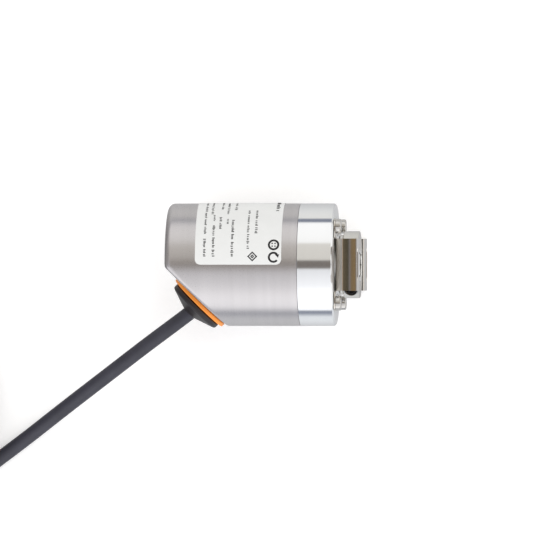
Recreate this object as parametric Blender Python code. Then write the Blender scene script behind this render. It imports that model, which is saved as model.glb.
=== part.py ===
"""Hollow-shaft rotary encoder with a stator coupling, a cable and a round plug.

The encoder lies on a table: its shaft runs along +X, and the far ear of its coupling stands on z = 0.
Pieces of the encoder are placed in the shaft frame, whose origin is the centre of the flange's face.
"""

import math

import bmesh
import bpy
from mathutils import Matrix, Vector

MM = 0.001
GAP = 0.3 * MM  # between pieces that touch
FIT = 0.15 * MM  # radial gap between nested round pieces

# Encoder body
BODY_RADIUS = 18.25 * MM
BODY_LENGTH = 50.0 * MM
FLANGE_LENGTH = 10.6 * MM
WALL = 1.5 * MM
FACET_WALL = 2.0 * MM
REAR_FILLET = 2.0 * MM
FACET_DROP = 0.7 * MM  # how far below the axis the facet meets the rear face
GLAND_ALONG = 13.9 * MM  # from that edge down the facet to the gland's centre
BOSS_RADIUS = 8.85 * MM
BOSS_HEIGHT = 1.0 * MM

# Shaft and bearings
SHAFT_RADIUS = 5.0 * MM
SHAFT_FRONT = 7.3 * MM
BORE_RADIUS = 4.0 * MM
BORE_END = -14.0 * MM
BEARING_OUTER = 9.5 * MM
BEARING_WIDTH = 5.0 * MM
BEARING_PITCH = 7.25 * MM
BALL_RADIUS = 1.05 * MM
BALL_COUNT = 10
FRONT_BEARING = -2.1 * MM
REAR_BEARING = -9.9 * MM
SPIGOT_RADIUS = BODY_RADIUS - WALL - GAP
SPIGOT_END = -17.5 * MM

# Clamp ring
RING_RADIUS = 10.0 * MM
RING_REAR = 2.4 * MM
RING_FRONT = 7.05 * MM
CLAMP_SCREW_OFFSET = 7.3 * MM
CLAMP_SCREW_END = -5.0 * MM
CLAMP_HEAD_RADIUS = 1.75 * MM
CLAMP_HEAD_HEIGHT = 2.0 * MM
COUNTERBORE_RADIUS = 1.95 * MM
COUNTERBORE_FLOOR = 1.0 * MM

# Stator coupling
SHEET = 0.35 * MM
LEG_OFFSET = 10.7 * MM  # outer face of a leg, from the axis
LEG_HALF_WIDTH = 7.75 * MM
EAR_REACH = 22.75 * MM
EAR_FACE = 7.6 * MM
ROOT_BEND = 2.55 * MM
EAR_BEND = 0.9 * MM
SLOT_RADIUS = 1.6 * MM
SLOT_HALF_LENGTH = 5.2 * MM
SLOT_OFFSET = 20.0 * MM
TAB_RADIUS = 2.3 * MM  # round the coupling's screws
SCREW_SIDE = 11.4 * MM
SCREW_RISE = 10.9 * MM
SCREW_HEAD_RADIUS = 2.15 * MM
SCREW_HEAD_HEIGHT = 1.5 * MM

# Electronics
DISC_RADIUS = 12.5 * MM
DISC_FRONT = -19.6 * MM
BOARD_FRONT = -23.6 * MM
BOARD_REAR = -25.2 * MM
BOARD_RADIUS = 16.0 * MM
POST_CIRCLE = 13.9 * MM
SENSOR_OFFSET = 10.6 * MM

# Gland, cable and plug
CABLE_RADIUS = 2.15 * MM
GLAND_RADIUS = 9.8 * MM
RELIEF_RADIUS = 8.6 * MM
RELIEF_HEIGHT = 5.5 * MM
STEM_RADIUS = 5.0 * MM
NUT_RADIUS = 7.1 * MM
PLUG_AXIS = 7.2 * MM

# Coil of cable on the table
COIL_CENTRE = Vector((-117.6 * MM, -46.3 * MM, 0.0))
COIL_INNER = 19.8 * MM
COIL_OUTER = 31.2 * MM
COIL_BASE = 0.8 * MM  # the ties run under the turns
COIL_LAYERS = 4
TIE_THICKNESS = 0.5 * MM
TIE_WIDTH = 4.0 * MM

# Routes of the cable's centreline where it isn't coiled, in world millimetres
CABLE_ROUTE = [
    (-23.15, -14.75, 22.75),
    (-27.5, -18.0, 22.6),
    (-36.2, -24.4, 21.2),
    (-48.7, -33.7, 16.5),
    (-61.6, -43.2, 9.5),
    (-73.4, -52.1, 4.4),
    (-84.4, -60.3, 2.4),
]
TAIL_ROUTE = [
    (-148.8, -28.5, 12.8),
    (-148.8, -20.0, 10.4),
    (-147.3, -12.3, 8.6),
    (-142.9, -5.9, 7.6),
    (-136.5, -1.6, 7.25),
    (-131.5, -0.2, 7.2),
    (-128.8, 0.0, 7.2),
]

AXIS_HEIGHT = EAR_REACH
FACE_X = (BODY_LENGTH - EAR_FACE) / 2  # centres the encoder on the origin

COLOURS = {
    "steel": ((0.52, 0.50, 0.48), 0.38, 1.0),
    "aluminium": ((0.86, 0.87, 0.89), 0.25, 1.0),
    "spring_steel": ((0.60, 0.58, 0.55), 0.25, 1.0),
    "screw_steel": ((0.75, 0.74, 0.72), 0.2, 1.0),
    "black_oxide": ((0.05, 0.05, 0.055), 0.35, 1.0),
    "bearing_steel": ((0.70, 0.71, 0.73), 0.15, 1.0),
    "brass": ((0.80, 0.62, 0.30), 0.3, 1.0),
    "orange_plastic": ((0.85, 0.25, 0.03), 0.5, 0.0),
    "black_plastic": ((0.02, 0.02, 0.022), 0.55, 0.0),
    "jacket": ((0.03, 0.032, 0.038), 0.5, 0.0),
    "rubber": ((0.02, 0.02, 0.02), 0.8, 0.0),
    "label": ((0.82, 0.83, 0.83), 0.4, 0.0),
    "glass": ((0.75, 0.82, 0.85), 0.05, 0.0),
    "board": ((0.02, 0.18, 0.07), 0.4, 0.0),
    "chip": ((0.03, 0.03, 0.03), 0.4, 0.0),
    "ceramic": ((0.55, 0.42, 0.30), 0.5, 0.0),
}


def material(name):
    found = bpy.data.materials.get(name)
    if found:
        return found
    made = bpy.data.materials.new(name)
    made.use_nodes = True
    shader = made.node_tree.nodes["Principled BSDF"]
    colour, roughness, metallic = COLOURS[name]
    shader.inputs["Base Color"].default_value = (*colour, 1.0)
    shader.inputs["Roughness"].default_value = roughness
    shader.inputs["Metallic"].default_value = metallic
    return made


def empty(name, location, turn_z=0.0):
    frame = bpy.data.objects.new(name, None)
    bpy.context.collection.objects.link(frame)
    frame.location = location
    frame.rotation_euler.z = turn_z
    return frame


def finish(name, bm, finish_name, parent, sharp_angle=35.0):
    """Turn a bmesh into a named, smooth-shaded piece under its parent frame."""
    bmesh.ops.recalc_face_normals(bm, faces=bm.faces)
    mesh = bpy.data.meshes.new(name)
    bm.to_mesh(mesh)
    bm.free()
    mesh.shade_smooth()
    mesh.set_sharp_from_angle(angle=math.radians(sharp_angle))
    mesh.materials.append(material(finish_name))
    piece = bpy.data.objects.new(name, mesh)
    bpy.context.collection.objects.link(piece)
    piece.parent = parent
    return piece


def spun(profile, segments, closed=True):
    """A solid turned about X from a profile of (x, radius) points; an open one starts and ends on the axis."""
    bm = bmesh.new()
    points = [bm.verts.new((x, radius, 0.0)) for x, radius in profile]
    edges = [bm.edges.new(pair) for pair in zip(points, points[1:])]
    if closed:
        edges.append(bm.edges.new((points[-1], points[0])))
    bmesh.ops.spin(
        bm,
        geom=points + edges,
        cent=(0.0, 0.0, 0.0),
        axis=(1.0, 0.0, 0.0),
        angle=2 * math.pi,
        steps=segments,
        use_duplicate=False,
    )
    bmesh.ops.remove_doubles(bm, verts=bm.verts, dist=0.001 * MM)
    return bm


def turned(name, profile, finish_name, parent, segments=32, closed=True):
    return finish(name, spun(profile, segments, closed), finish_name, parent)


def sleeve(x_rear, x_front, inner, outer):
    """The profile of a plain tube."""
    return [(x_rear, inner), (x_rear, outer), (x_front, outer), (x_front, inner)]


def arc(centre, radius, start, end, steps):
    """Points on an arc in the (x, radius) plane; angles in degrees, 0 along +X."""
    angles = [math.radians(start + (end - start) * i / steps) for i in range(steps + 1)]
    return [(centre[0] + radius * math.cos(a), centre[1] + radius * math.sin(a)) for a in angles]


def round_ring(centre_x, major, minor, sides):
    return [(centre_x + minor * math.cos(a), major + minor * math.sin(a))
            for a in (2 * math.pi * (i + 0.5) / sides for i in range(sides))]


def add_box(bm, centre, size, turn=None):
    matrix = Matrix.Translation(centre) @ (turn or Matrix()) @ Matrix.Diagonal((*size, 1.0))
    bmesh.ops.create_cube(bm, size=1.0, matrix=matrix)


def add_rod(bm, start, end, radius, sides):
    """A plain cylinder from start to end."""
    start, end = Vector(start), Vector(end)
    along = end - start
    turn = along.to_track_quat("Z", "Y").to_matrix().to_4x4()
    bmesh.ops.create_cone(
        bm,
        cap_ends=True,
        segments=sides,
        radius1=radius,
        radius2=radius,
        depth=along.length,
        matrix=Matrix.Translation((start + end) / 2) @ turn,
    )


def block(name, centre, size, finish_name, parent):
    bm = bmesh.new()
    add_box(bm, centre, size)
    return finish(name, bm, finish_name, parent)


def guide(name, bm, parent):
    """A cutter: it shapes another piece and is no piece itself."""
    cutter = finish(name, bm, "steel", parent)
    cutter.hide_render = True
    cutter.display_type = "WIRE"
    return cutter


def boolean(piece, cutter, operation="DIFFERENCE"):
    step = piece.modifiers.new(cutter.name, "BOOLEAN")
    step.operation = operation
    step.solver = "EXACT"
    step.object = cutter


def cut_rods(piece, rods, parent, sides=16):
    """Cut round holes, each given as (start, end, radius)."""
    for number, (start, end, radius) in enumerate(rods):
        bm = bmesh.new()
        add_rod(bm, start, end, radius, sides)
        boolean(piece, guide(f"{piece.name}_hole_{number}", bm, parent))


def cut_box(piece, name, centre, size, parent, turn=None):
    bm = bmesh.new()
    add_box(bm, centre, size, turn)
    boolean(piece, guide(name, bm, parent))


def around(count, radius, x, start=0.0):
    """Evenly spaced places on a circle about the shaft."""
    angles = [start + 2 * math.pi * i / count for i in range(count)]
    return [Vector((x, radius * math.cos(a), radius * math.sin(a))) for a in angles]


def tube(name, route, radius, finish_name, parent=None, bevel_resolution=2):
    """A cord's stand-in: a round tube along a smooth route, with filled ends."""
    curve = bpy.data.curves.new(name, "CURVE")
    curve.dimensions = "3D"
    curve.bevel_depth = radius
    curve.bevel_resolution = bevel_resolution
    curve.use_fill_caps = True
    spline = curve.splines.new("POLY")
    spline.points.add(len(route) - 1)
    for point, place in zip(spline.points, route):
        point.co = (*place, 1.0)
    spline.use_smooth = True
    curve.materials.append(material(finish_name))
    piece = bpy.data.objects.new(name, curve)
    bpy.context.collection.objects.link(piece)
    piece.parent = parent
    return piece


def smooth_route(points, spacing):
    """Points about a spacing apart on a Catmull-Rom curve through the given ones."""
    points = [Vector(p) for p in points]
    ends = [2 * points[0] - points[1], *points, 2 * points[-1] - points[-2]]
    route = []
    for before, start, end, after in zip(ends, ends[1:], ends[2:], ends[3:]):
        steps = max(1, round((end - start).length / spacing))
        for i in range(steps):
            t = i / steps
            route.append(0.5 * (2 * start + (end - before) * t
                                + (2 * before - 5 * start + 4 * end - after) * t ** 2
                                + (3 * start - before - 3 * end + after) * t ** 3))
    return [*route, points[-1]]


# ---------------------------------------------------------------- housing and flange


def facet_box(reach, offset):
    """A block whose flat side is the facet's plane, moved inwards by offset."""
    bm = bmesh.new()
    outward = Vector((-1.0, -1.0, 0.0)).normalized()
    along = Vector((1.0, -1.0, 0.0)).normalized()
    edge = Vector((-BODY_LENGTH, -FACET_DROP, 0.0))
    centre = edge + along * GLAND_ALONG + outward * (reach / 2 - offset)
    add_box(bm, centre, (reach, reach, reach), Matrix.Rotation(math.radians(45.0), 4, "Z"))
    return bm


def rear_housing(shaft_frame, gland_frame):
    front = -FLANGE_LENGTH - GAP / 2
    shell = turned("rear_housing", [
        (front, 0.0),
        (front, BODY_RADIUS),
        *arc((-BODY_LENGTH + REAR_FILLET, BODY_RADIUS - REAR_FILLET), REAR_FILLET, 90, 180, 3),
        (-BODY_LENGTH, 0.0),
    ], "steel", shaft_frame, segments=48, closed=False)
    boolean(shell, guide("facet_cut", facet_box(60 * MM, 0.0), shaft_frame))
    inner = BODY_RADIUS - WALL
    cavity = guide("cavity", spun([
        (front + 1 * MM, 0.0),
        (front + 1 * MM, inner),
        (-BODY_LENGTH + WALL, inner),
        (-BODY_LENGTH + WALL, 0.0),
    ], 48, closed=False), shaft_frame)
    boolean(cavity, guide("cavity_facet_cut", facet_box(60 * MM, FACET_WALL), shaft_frame))
    boolean(shell, cavity)
    bore = ((-5 * MM, 0, 0), (5 * MM, 0, 0), STEM_RADIUS + 0.4 * MM)
    cut_rods(shell, [bore], gland_frame, sides=24)


def front_flange(shaft_frame):
    bore = BEARING_OUTER + FIT
    lip = 7.55 * MM
    chamfer = 0.5 * MM
    seal_seat = -1.8 * MM
    groove_rear, groove_front, groove_floor = -14.0 * MM, -12.0 * MM, 15.0 * MM
    clip_rear, clip_front, clip_floor = -16.2 * MM, -15.05 * MM, 10.3 * MM
    shoulder = -FLANGE_LENGTH + GAP / 2
    flange = turned("front_flange", [
        (BOSS_HEIGHT, lip),
        (BOSS_HEIGHT, BOSS_RADIUS),
        (0.0, BOSS_RADIUS),
        (0.0, BODY_RADIUS - chamfer),
        (-chamfer, BODY_RADIUS),
        (shoulder, BODY_RADIUS),
        (shoulder, SPIGOT_RADIUS),
        (groove_front, SPIGOT_RADIUS),
        (groove_front, groove_floor),
        (groove_rear, groove_floor),
        (groove_rear, SPIGOT_RADIUS),
        (SPIGOT_END, SPIGOT_RADIUS),
        (SPIGOT_END, bore),
        (clip_rear, bore),
        (clip_rear, clip_floor),
        (clip_front, clip_floor),
        (clip_front, bore),
        (seal_seat, bore),
        (seal_seat, lip),
    ], "aluminium", shaft_frame, segments=40)
    depth = 6 * MM
    thread = 1.3 * MM
    holes = [((-depth, y, z), (MM, y, z), thread) for y, z in coupling_screw_places()]
    cut_rods(flange, holes, shaft_frame, sides=12)
    turned("housing_oring", round_ring(-13.0 * MM, 15.85 * MM, 0.75 * MM, 6), "rubber", shaft_frame, segments=24)
    seal_outer = lip - FIT
    seal_inner = 6.0 * MM + FIT
    turned("shaft_seal", [
        (-1.6 * MM, seal_outer),
        (0.8 * MM, seal_outer),
        (0.8 * MM, 6.9 * MM),
        (0.2 * MM, seal_inner),
        (-0.2 * MM, seal_inner),
        (-0.6 * MM, 6.7 * MM),
        (-1.6 * MM, 6.9 * MM),
    ], "rubber", shaft_frame, segments=24)


# ---------------------------------------------------------------- bearings and shaft


def bearing(prefix, front, shaft_frame):
    """A deep-groove ball bearing: two grooved rings, and the balls in their cage as one set."""
    rear = front - BEARING_WIDTH
    middle = front - BEARING_WIDTH / 2
    inner, outer = SHAFT_RADIUS + FIT, BEARING_OUTER
    land, groove = 1.1 * MM, 0.8 * MM
    depth = 0.3 * MM
    inner_edge, outer_edge = 6.35 * MM, 8.15 * MM
    turned(f"{prefix}_bearing_inner_ring", [
        (rear, inner), (rear, inner_edge), (middle - land, inner_edge),
        (middle - groove / 2, inner_edge - depth), (middle + groove / 2, inner_edge - depth),
        (middle + land, inner_edge), (front, inner_edge), (front, inner),
    ], "bearing_steel", shaft_frame, segments=24)
    turned(f"{prefix}_bearing_outer_ring", [
        (rear, outer), (rear, outer_edge), (middle - land, outer_edge),
        (middle - groove / 2, outer_edge + depth), (middle + groove / 2, outer_edge + depth),
        (middle + land, outer_edge), (front, outer_edge), (front, outer),
    ], "bearing_steel", shaft_frame, segments=24)
    half_cage = 1.7 * MM
    cage_inner, cage_outer = 6.8 * MM, 7.7 * MM
    cage = turned(f"{prefix}_ball_set", sleeve(middle - half_cage, middle + half_cage, cage_inner, cage_outer),
                  "bearing_steel", shaft_frame, segments=20)
    balls = bmesh.new()
    for place in around(BALL_COUNT, BEARING_PITCH, middle, start=0.01):
        bmesh.ops.create_icosphere(balls, subdivisions=1, radius=BALL_RADIUS, matrix=Matrix.Translation(place))
    boolean(cage, guide(f"{prefix}_balls", balls, shaft_frame), "UNION")


def open_ring(name, rear, front, inner, outer, opening, side, shaft_frame):
    """A retaining ring: a flat ring with an opening towards +Y or -Y."""
    ring = turned(name, sleeve(rear, front, inner, outer), "spring_steel", shaft_frame, segments=24)
    centre = ((rear + front) / 2, side * (inner + outer) / 2, 0.0)
    cut_box(ring, f"{name}_opening", centre, (3 * MM, 4 * (outer - inner), opening), shaft_frame)


def bearing_parts(shaft_frame):
    bearing("front", FRONT_BEARING, shaft_frame)
    bearing("rear", REAR_BEARING, shaft_frame)
    spacer_front = FRONT_BEARING - BEARING_WIDTH - GAP
    spacer_rear = REAR_BEARING + GAP
    turned("outer_spacer", sleeve(spacer_rear, spacer_front, 8.3 * MM, BEARING_OUTER), "steel", shaft_frame, segments=24)
    turned("inner_spacer", sleeve(spacer_rear, spacer_front, SHAFT_RADIUS + FIT, 6.2 * MM), "steel", shaft_frame, segments=24)
    clip_rear, clip_front = -16.0 * MM, -15.2 * MM
    open_ring("bearing_retaining_ring", clip_rear, clip_front, 8.6 * MM, 10.1 * MM, 3 * MM, 1, shaft_frame)
    open_ring("shaft_retaining_ring", clip_rear, clip_front, 4.7 * MM, 6.2 * MM, 5 * MM, -1, shaft_frame)


def hollow_shaft(shaft_frame):
    rear = -21.6 * MM
    clip_rear, clip_front, clip_floor = -16.2 * MM, -15.05 * MM, 4.55 * MM
    shoulder, shoulder_radius = -1.85 * MM, 6.0 * MM
    collar_rear, collar_front = 1.3 * MM, 2.15 * MM
    lead_in = 0.3 * MM
    shaft = turned("hollow_shaft", [
        (rear, 0.0),
        (rear, SHAFT_RADIUS),
        (clip_rear, SHAFT_RADIUS),
        (clip_rear, clip_floor),
        (clip_front, clip_floor),
        (clip_front, SHAFT_RADIUS),
        (shoulder, SHAFT_RADIUS),
        (shoulder, shoulder_radius),
        (collar_rear, shoulder_radius),
        (collar_rear, BOSS_RADIUS),
        (collar_front, BOSS_RADIUS),
        (collar_front, SHAFT_RADIUS),
        (SHAFT_FRONT, SHAFT_RADIUS),
        (SHAFT_FRONT, BORE_RADIUS + lead_in),
        (SHAFT_FRONT - lead_in, BORE_RADIUS),
        (BORE_END, BORE_RADIUS),
        (BORE_END, 0.0),
    ], "screw_steel", shaft_frame, segments=28, closed=False)
    slot_rear = 2.7 * MM
    slot_length = 8 * MM
    for number, turn in enumerate((45.0, 135.0)):
        cut_box(shaft, f"shaft_slot_{number}", (slot_rear + slot_length / 2, 0.0, 0.0),
                (slot_length, 14 * MM, 0.8 * MM), shaft_frame, Matrix.Rotation(math.radians(turn), 4, "X"))


def clamp_ring(shaft_frame):
    chamfer = 0.3 * MM
    inner = SHAFT_RADIUS + FIT
    ring = turned("clamp_ring", [
        (RING_REAR, inner),
        (RING_REAR, RING_RADIUS - chamfer),
        (RING_REAR + chamfer, RING_RADIUS),
        (RING_FRONT - chamfer, RING_RADIUS),
        (RING_FRONT, RING_RADIUS - chamfer),
        (RING_FRONT, inner),
    ], "screw_steel", shaft_frame, segments=40)
    middle = (RING_REAR + RING_FRONT) / 2
    slit = 1.0 * MM
    cut_box(ring, "ring_slit", (middle, -8 * MM, 0.0), (8 * MM, 7 * MM, slit), shaft_frame)
    side = -CLAMP_SCREW_OFFSET
    counterbore = ((middle, side, COUNTERBORE_FLOOR), (middle, side, RING_RADIUS), COUNTERBORE_RADIUS)
    clearance = ((middle, side, -RING_RADIUS), (middle, side, COUNTERBORE_FLOOR + MM / 2), 1.4 * MM)
    cut_rods(ring, [counterbore, clearance], shaft_frame, sides=20)

    screw_frame = empty("clamp_screw_axis", (middle, side, 0.0))
    screw_frame.parent = shaft_frame
    screw_frame.rotation_euler.y = -math.pi / 2  # its +X points along the shaft frame's +Z
    seat = COUNTERBORE_FLOOR + FIT
    head = seat + CLAMP_HEAD_HEIGHT
    thread = 1.2 * MM
    screw = turned("clamp_screw", [
        (CLAMP_SCREW_END, 0.0),
        (CLAMP_SCREW_END, thread),
        (seat, thread),
        (seat, CLAMP_HEAD_RADIUS),
        (head, CLAMP_HEAD_RADIUS),
        (head, 0.0),
    ], "black_oxide", screw_frame, segments=20, closed=False)
    cut_rods(screw, [((head - 1.1 * MM, 0, 0), (head + MM, 0, 0), 1.1 * MM)], screw_frame, sides=6)


# ---------------------------------------------------------------- stator coupling


def hat_profile():
    """The bent sheet from the base plate to the upper ear's tip in (x, z): its two skins."""
    lift = FIT  # the sheet lies just off the flange's face
    root = (lift + ROOT_BEND, LEG_OFFSET - ROOT_BEND)
    bend = (EAR_FACE - EAR_BEND, LEG_OFFSET - SHEET + EAR_BEND)
    near_skin = [*arc(root, ROOT_BEND, 180, 90, 4),
                 *arc(bend, EAR_BEND - SHEET, 270, 360, 2),
                 (EAR_FACE - SHEET, EAR_REACH)]
    far_skin = [(EAR_FACE, EAR_REACH),
                *arc(bend, EAR_BEND, 360, 270, 2),
                *arc(root, ROOT_BEND - SHEET, 90, 180, 4)]
    return near_skin, far_skin


def stator_coupling(shaft_frame):
    outer, inner = hat_profile()
    half = outer + inner
    outline = half + [(x, -z) for x, z in reversed(half)]
    bm = bmesh.new()
    corners = [bm.verts.new((x, -LEG_HALF_WIDTH, z)) for x, z in outline]
    face = bm.faces.new(corners)
    moved = bmesh.ops.extrude_face_region(bm, geom=[face])["geom"]
    bmesh.ops.translate(bm, verts=[v for v in moved if isinstance(v, bmesh.types.BMVert)],
                        vec=(0.0, 2 * LEG_HALF_WIDTH, 0.0))
    coupling = finish("stator_coupling", bm, "spring_steel", shaft_frame)

    boolean(coupling, guide("coupling_plate", base_plate(), shaft_frame), "UNION")
    reach = 2 * MM
    boss_clearance = ((-reach, 0, 0), (reach, 0, 0), BOSS_RADIUS + GAP)
    screws = [((-reach, y, z), (reach, y, z), 1.4 * MM) for y, z in coupling_screw_places()]
    cut_rods(coupling, [boss_clearance, *screws], shaft_frame, sides=36)
    for side in (1, -1):
        bm = bmesh.new()
        slot_outline(bm, side)
        boolean(coupling, guide(f"ear_slot_{side}", bm, shaft_frame))


def coupling_screw_places():
    """Where the four screws stand on the flange's face, in (y, z)."""
    return [(y * SCREW_SIDE, z * SCREW_RISE) for y in (1, -1) for z in (1, -1)]


def base_plate():
    """The sheet on the flange's face: two wings with a round tab for each screw, relieved beside the legs."""
    neck_half_height = 7.9 * MM
    relief = LEG_HALF_WIDTH + GAP
    tab_top = SCREW_RISE + TAB_RADIUS
    outline = []
    for side in (1, -1):
        start = -90 if side == 1 else 90
        outline += [(side * relief, -side * neck_half_height),
                    (side * relief, -side * tab_top),
                    *arc((side * SCREW_SIDE, -side * SCREW_RISE), TAB_RADIUS, start, start + 90, 4),
                    *arc((side * SCREW_SIDE, side * SCREW_RISE), TAB_RADIUS, start + 90, start + 180, 4),
                    (side * relief, side * tab_top),
                    (side * relief, side * neck_half_height)]
    bm = bmesh.new()
    face = bm.faces.new([bm.verts.new((FIT, y, z)) for y, z in outline])
    moved = bmesh.ops.extrude_face_region(bm, geom=[face])["geom"]
    bmesh.ops.translate(bm, verts=[v for v in moved if isinstance(v, bmesh.types.BMVert)], vec=(SHEET, 0.0, 0.0))
    return bm


def slot_outline(bm, side):
    """An oblong cutter across the ear, along Y."""
    straight = SLOT_HALF_LENGTH - SLOT_RADIUS
    ends = [(straight, -90), (-straight, 90)]
    corners = []
    for centre, start in ends:
        corners += arc((centre, side * SLOT_OFFSET), SLOT_RADIUS, start, start + 180, 6)
    lower = [bm.verts.new((EAR_FACE - MM, y, z)) for y, z in corners]
    face = bm.faces.new(lower)
    moved = bmesh.ops.extrude_face_region(bm, geom=[face])["geom"]
    bmesh.ops.translate(bm, verts=[v for v in moved if isinstance(v, bmesh.types.BMVert)], vec=(2 * MM, 0.0, 0.0))


def coupling_fasteners(shaft_frame):
    head_rear = FIT + SHEET + FIT
    head_front = head_rear + SCREW_HEAD_HEIGHT
    edge = 0.45 * MM
    shank = 1.1 * MM
    for number, (y, z) in enumerate(coupling_screw_places(), start=1):
        frame = empty(f"coupling_screw_{number}_axis", (0.0, y, z))
        frame.parent = shaft_frame
        screw = turned(f"coupling_screw_{number}", [
            (-5 * MM, 0.0),
            (-5 * MM, shank),
            (head_rear, shank),
            (head_rear, SCREW_HEAD_RADIUS),
            *arc((head_front - edge, SCREW_HEAD_RADIUS - edge), edge, 90, 0, 2),
            (head_front, 0.0),
        ], "screw_steel", frame, segments=20, closed=False)
        for arm, turn in enumerate((20.0, 110.0)):
            cut_box(screw, f"recess_{number}_{arm}", (head_front, 0.0, 0.0), (1.4 * MM, 2.3 * MM, 0.5 * MM),
                    frame, Matrix.Rotation(math.radians(turn), 4, "X"))


# ---------------------------------------------------------------- disc and electronics


def code_disc_parts(shaft_frame):
    hub_front, hub_step, hub_rear = -17.2 * MM, -18.4 * MM, DISC_FRONT + FIT
    inner = SHAFT_RADIUS + FIT
    turned("disc_hub", [
        (hub_front, inner),
        (hub_front, 6.3 * MM),
        (hub_step, 6.3 * MM),
        (hub_step, 8.5 * MM),
        (hub_rear, 8.5 * MM),
        (hub_rear, inner),
    ], "brass", shaft_frame, segments=24)
    disc_rear = DISC_FRONT - 0.8 * MM
    turned("code_disc", sleeve(disc_rear, DISC_FRONT, inner + FIT, DISC_RADIUS), "glass", shaft_frame, segments=36)


def optics(shaft_frame):
    lamp = empty("light_axis", (0.0, SENSOR_OFFSET, 0.0))
    lamp.parent = shaft_frame
    turned("light_source", [
        (-17.8 * MM, 0.0),
        (-17.8 * MM, 1.5 * MM),
        (-18.8 * MM, 1.5 * MM),
        (-19.15 * MM, 1.1 * MM),
        (-19.3 * MM, 0.0),
    ], "glass", lamp, segments=16, closed=False)
    block("scanning_reticle", (-21.6 * MM, SENSOR_OFFSET, 0.0), (0.6 * MM, 4 * MM, 5 * MM), "glass", shaft_frame)
    block("sensor_chip", (-22.7 * MM, SENSOR_OFFSET, 0.0), (1.2 * MM, 4.4 * MM, 5.4 * MM), "chip", shaft_frame)


def circuit_board(shaft_frame):
    posts = around(3, POST_CIRCLE, 0.0, start=math.radians(60.0))
    board = turned("circuit_board", [(BOARD_REAR, 0.0), (BOARD_REAR, BOARD_RADIUS),
                                     (BOARD_FRONT, BOARD_RADIUS), (BOARD_FRONT, 0.0)],
                   "board", shaft_frame, segments=36, closed=False)
    step = Vector((MM, 0.0, 0.0))
    cut_rods(board, [(p + step * -30, p + step * -20, 0.95 * MM) for p in posts], shaft_frame, sides=10)

    post_front, post_rear = SPIGOT_END - GAP, BOARD_FRONT + GAP
    thread_end, screw_end = -20.6 * MM, -21.2 * MM
    head_front, head_rear = BOARD_REAR - GAP, BOARD_REAR - 1.1 * MM
    for number, post in enumerate(posts, start=1):
        frame = empty(f"post_{number}_axis", post)
        frame.parent = shaft_frame
        turned(f"board_standoff_{number}", [
            (post_front, 0.0), (post_front, 1.25 * MM), (post_rear, 1.25 * MM),
            (post_rear, 0.85 * MM), (thread_end, 0.85 * MM), (thread_end, 0.0),
        ], "brass", frame, segments=12, closed=False)
        turned(f"board_screw_{number}", [
            (head_rear, 0.0), (head_rear, 1.5 * MM), (head_front, 1.5 * MM),
            (head_front, 0.65 * MM), (screw_end, 0.65 * MM), (screw_end, 0.0),
        ], "screw_steel", frame, segments=12, closed=False)


def board_components(shaft_frame):
    face = BOARD_REAR - FIT

    def on_board(name, finish_name, y, z, size):
        centre = (face - size[0] / 2, y * MM, z * MM)
        block(name, centre, size, finish_name, shaft_frame)

    on_board("signal_chip", "chip", 8.0, 0.0, (1.0 * MM, 6 * MM, 6 * MM))
    on_board("line_driver_chip", "chip", -7.5, 7.0, (1.2 * MM, 5 * MM, 4 * MM))
    on_board("capacitor_a", "ceramic", 8.0, 7.5, (0.9 * MM, 3 * MM, 1.6 * MM))
    on_board("capacitor_b", "ceramic", 8.0, -7.5, (0.9 * MM, 3 * MM, 1.6 * MM))
    on_board("wire_header", "label", -1.5, 0.0, (3.2 * MM, 4 * MM, 11 * MM))


# ---------------------------------------------------------------- gland, label and cable


def gland(shaft_frame, gland_frame):
    ring_rear, ring_front = 0.2 * MM, 1.5 * MM
    edge = 0.4 * MM
    turned("gland_ring", [
        (ring_rear, STEM_RADIUS + 0.4 * MM),
        (ring_rear, GLAND_RADIUS - edge),
        (ring_rear + edge, GLAND_RADIUS),
        (ring_front, GLAND_RADIUS),
        (ring_front, STEM_RADIUS + 0.4 * MM),
    ], "orange_plastic", gland_frame, segments=30)
    base, rim = 1.75 * MM, 3.3 * MM
    neck = CABLE_RADIUS + 0.1 * MM
    edge = 0.35 * MM
    turned("strain_relief", [
        (-3.4 * MM, 0.0),
        (-3.4 * MM, STEM_RADIUS),
        (base, STEM_RADIUS),
        (base, RELIEF_RADIUS - edge),
        (base + edge, RELIEF_RADIUS),
        (rim - 1.4 * edge, RELIEF_RADIUS),
        (rim, RELIEF_RADIUS - edge),
        (rim + edge, RELIEF_RADIUS - 3 * edge),
        (RELIEF_HEIGHT, neck),
        (RELIEF_HEIGHT, 0.0),
    ], "black_plastic", gland_frame, segments=24, closed=False)
    turned("crimp_sleeve", sleeve(-8.5 * MM, -4.2 * MM, 1.6 * MM, 2.3 * MM), "brass", gland_frame, segments=20)
    header_back = BOARD_REAR - FIT - 3.2 * MM - GAP
    stem_end = gland_frame.location + gland_frame.rotation_euler.to_matrix() @ Vector((-3.7 * MM, 0.0, 0.0))
    sleeve_end = gland_frame.location + gland_frame.rotation_euler.to_matrix() @ Vector((-9.0 * MM, 0.0, 0.0))
    wires = [stem_end, sleeve_end, (header_back - 2.2 * MM, -1.9 * MM, 0.0), (header_back, -1.5 * MM, 0.0)]
    tube("wire_bundle", smooth_route(wires, 1.5 * MM), 1.2 * MM, "jacket", shaft_frame)


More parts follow.
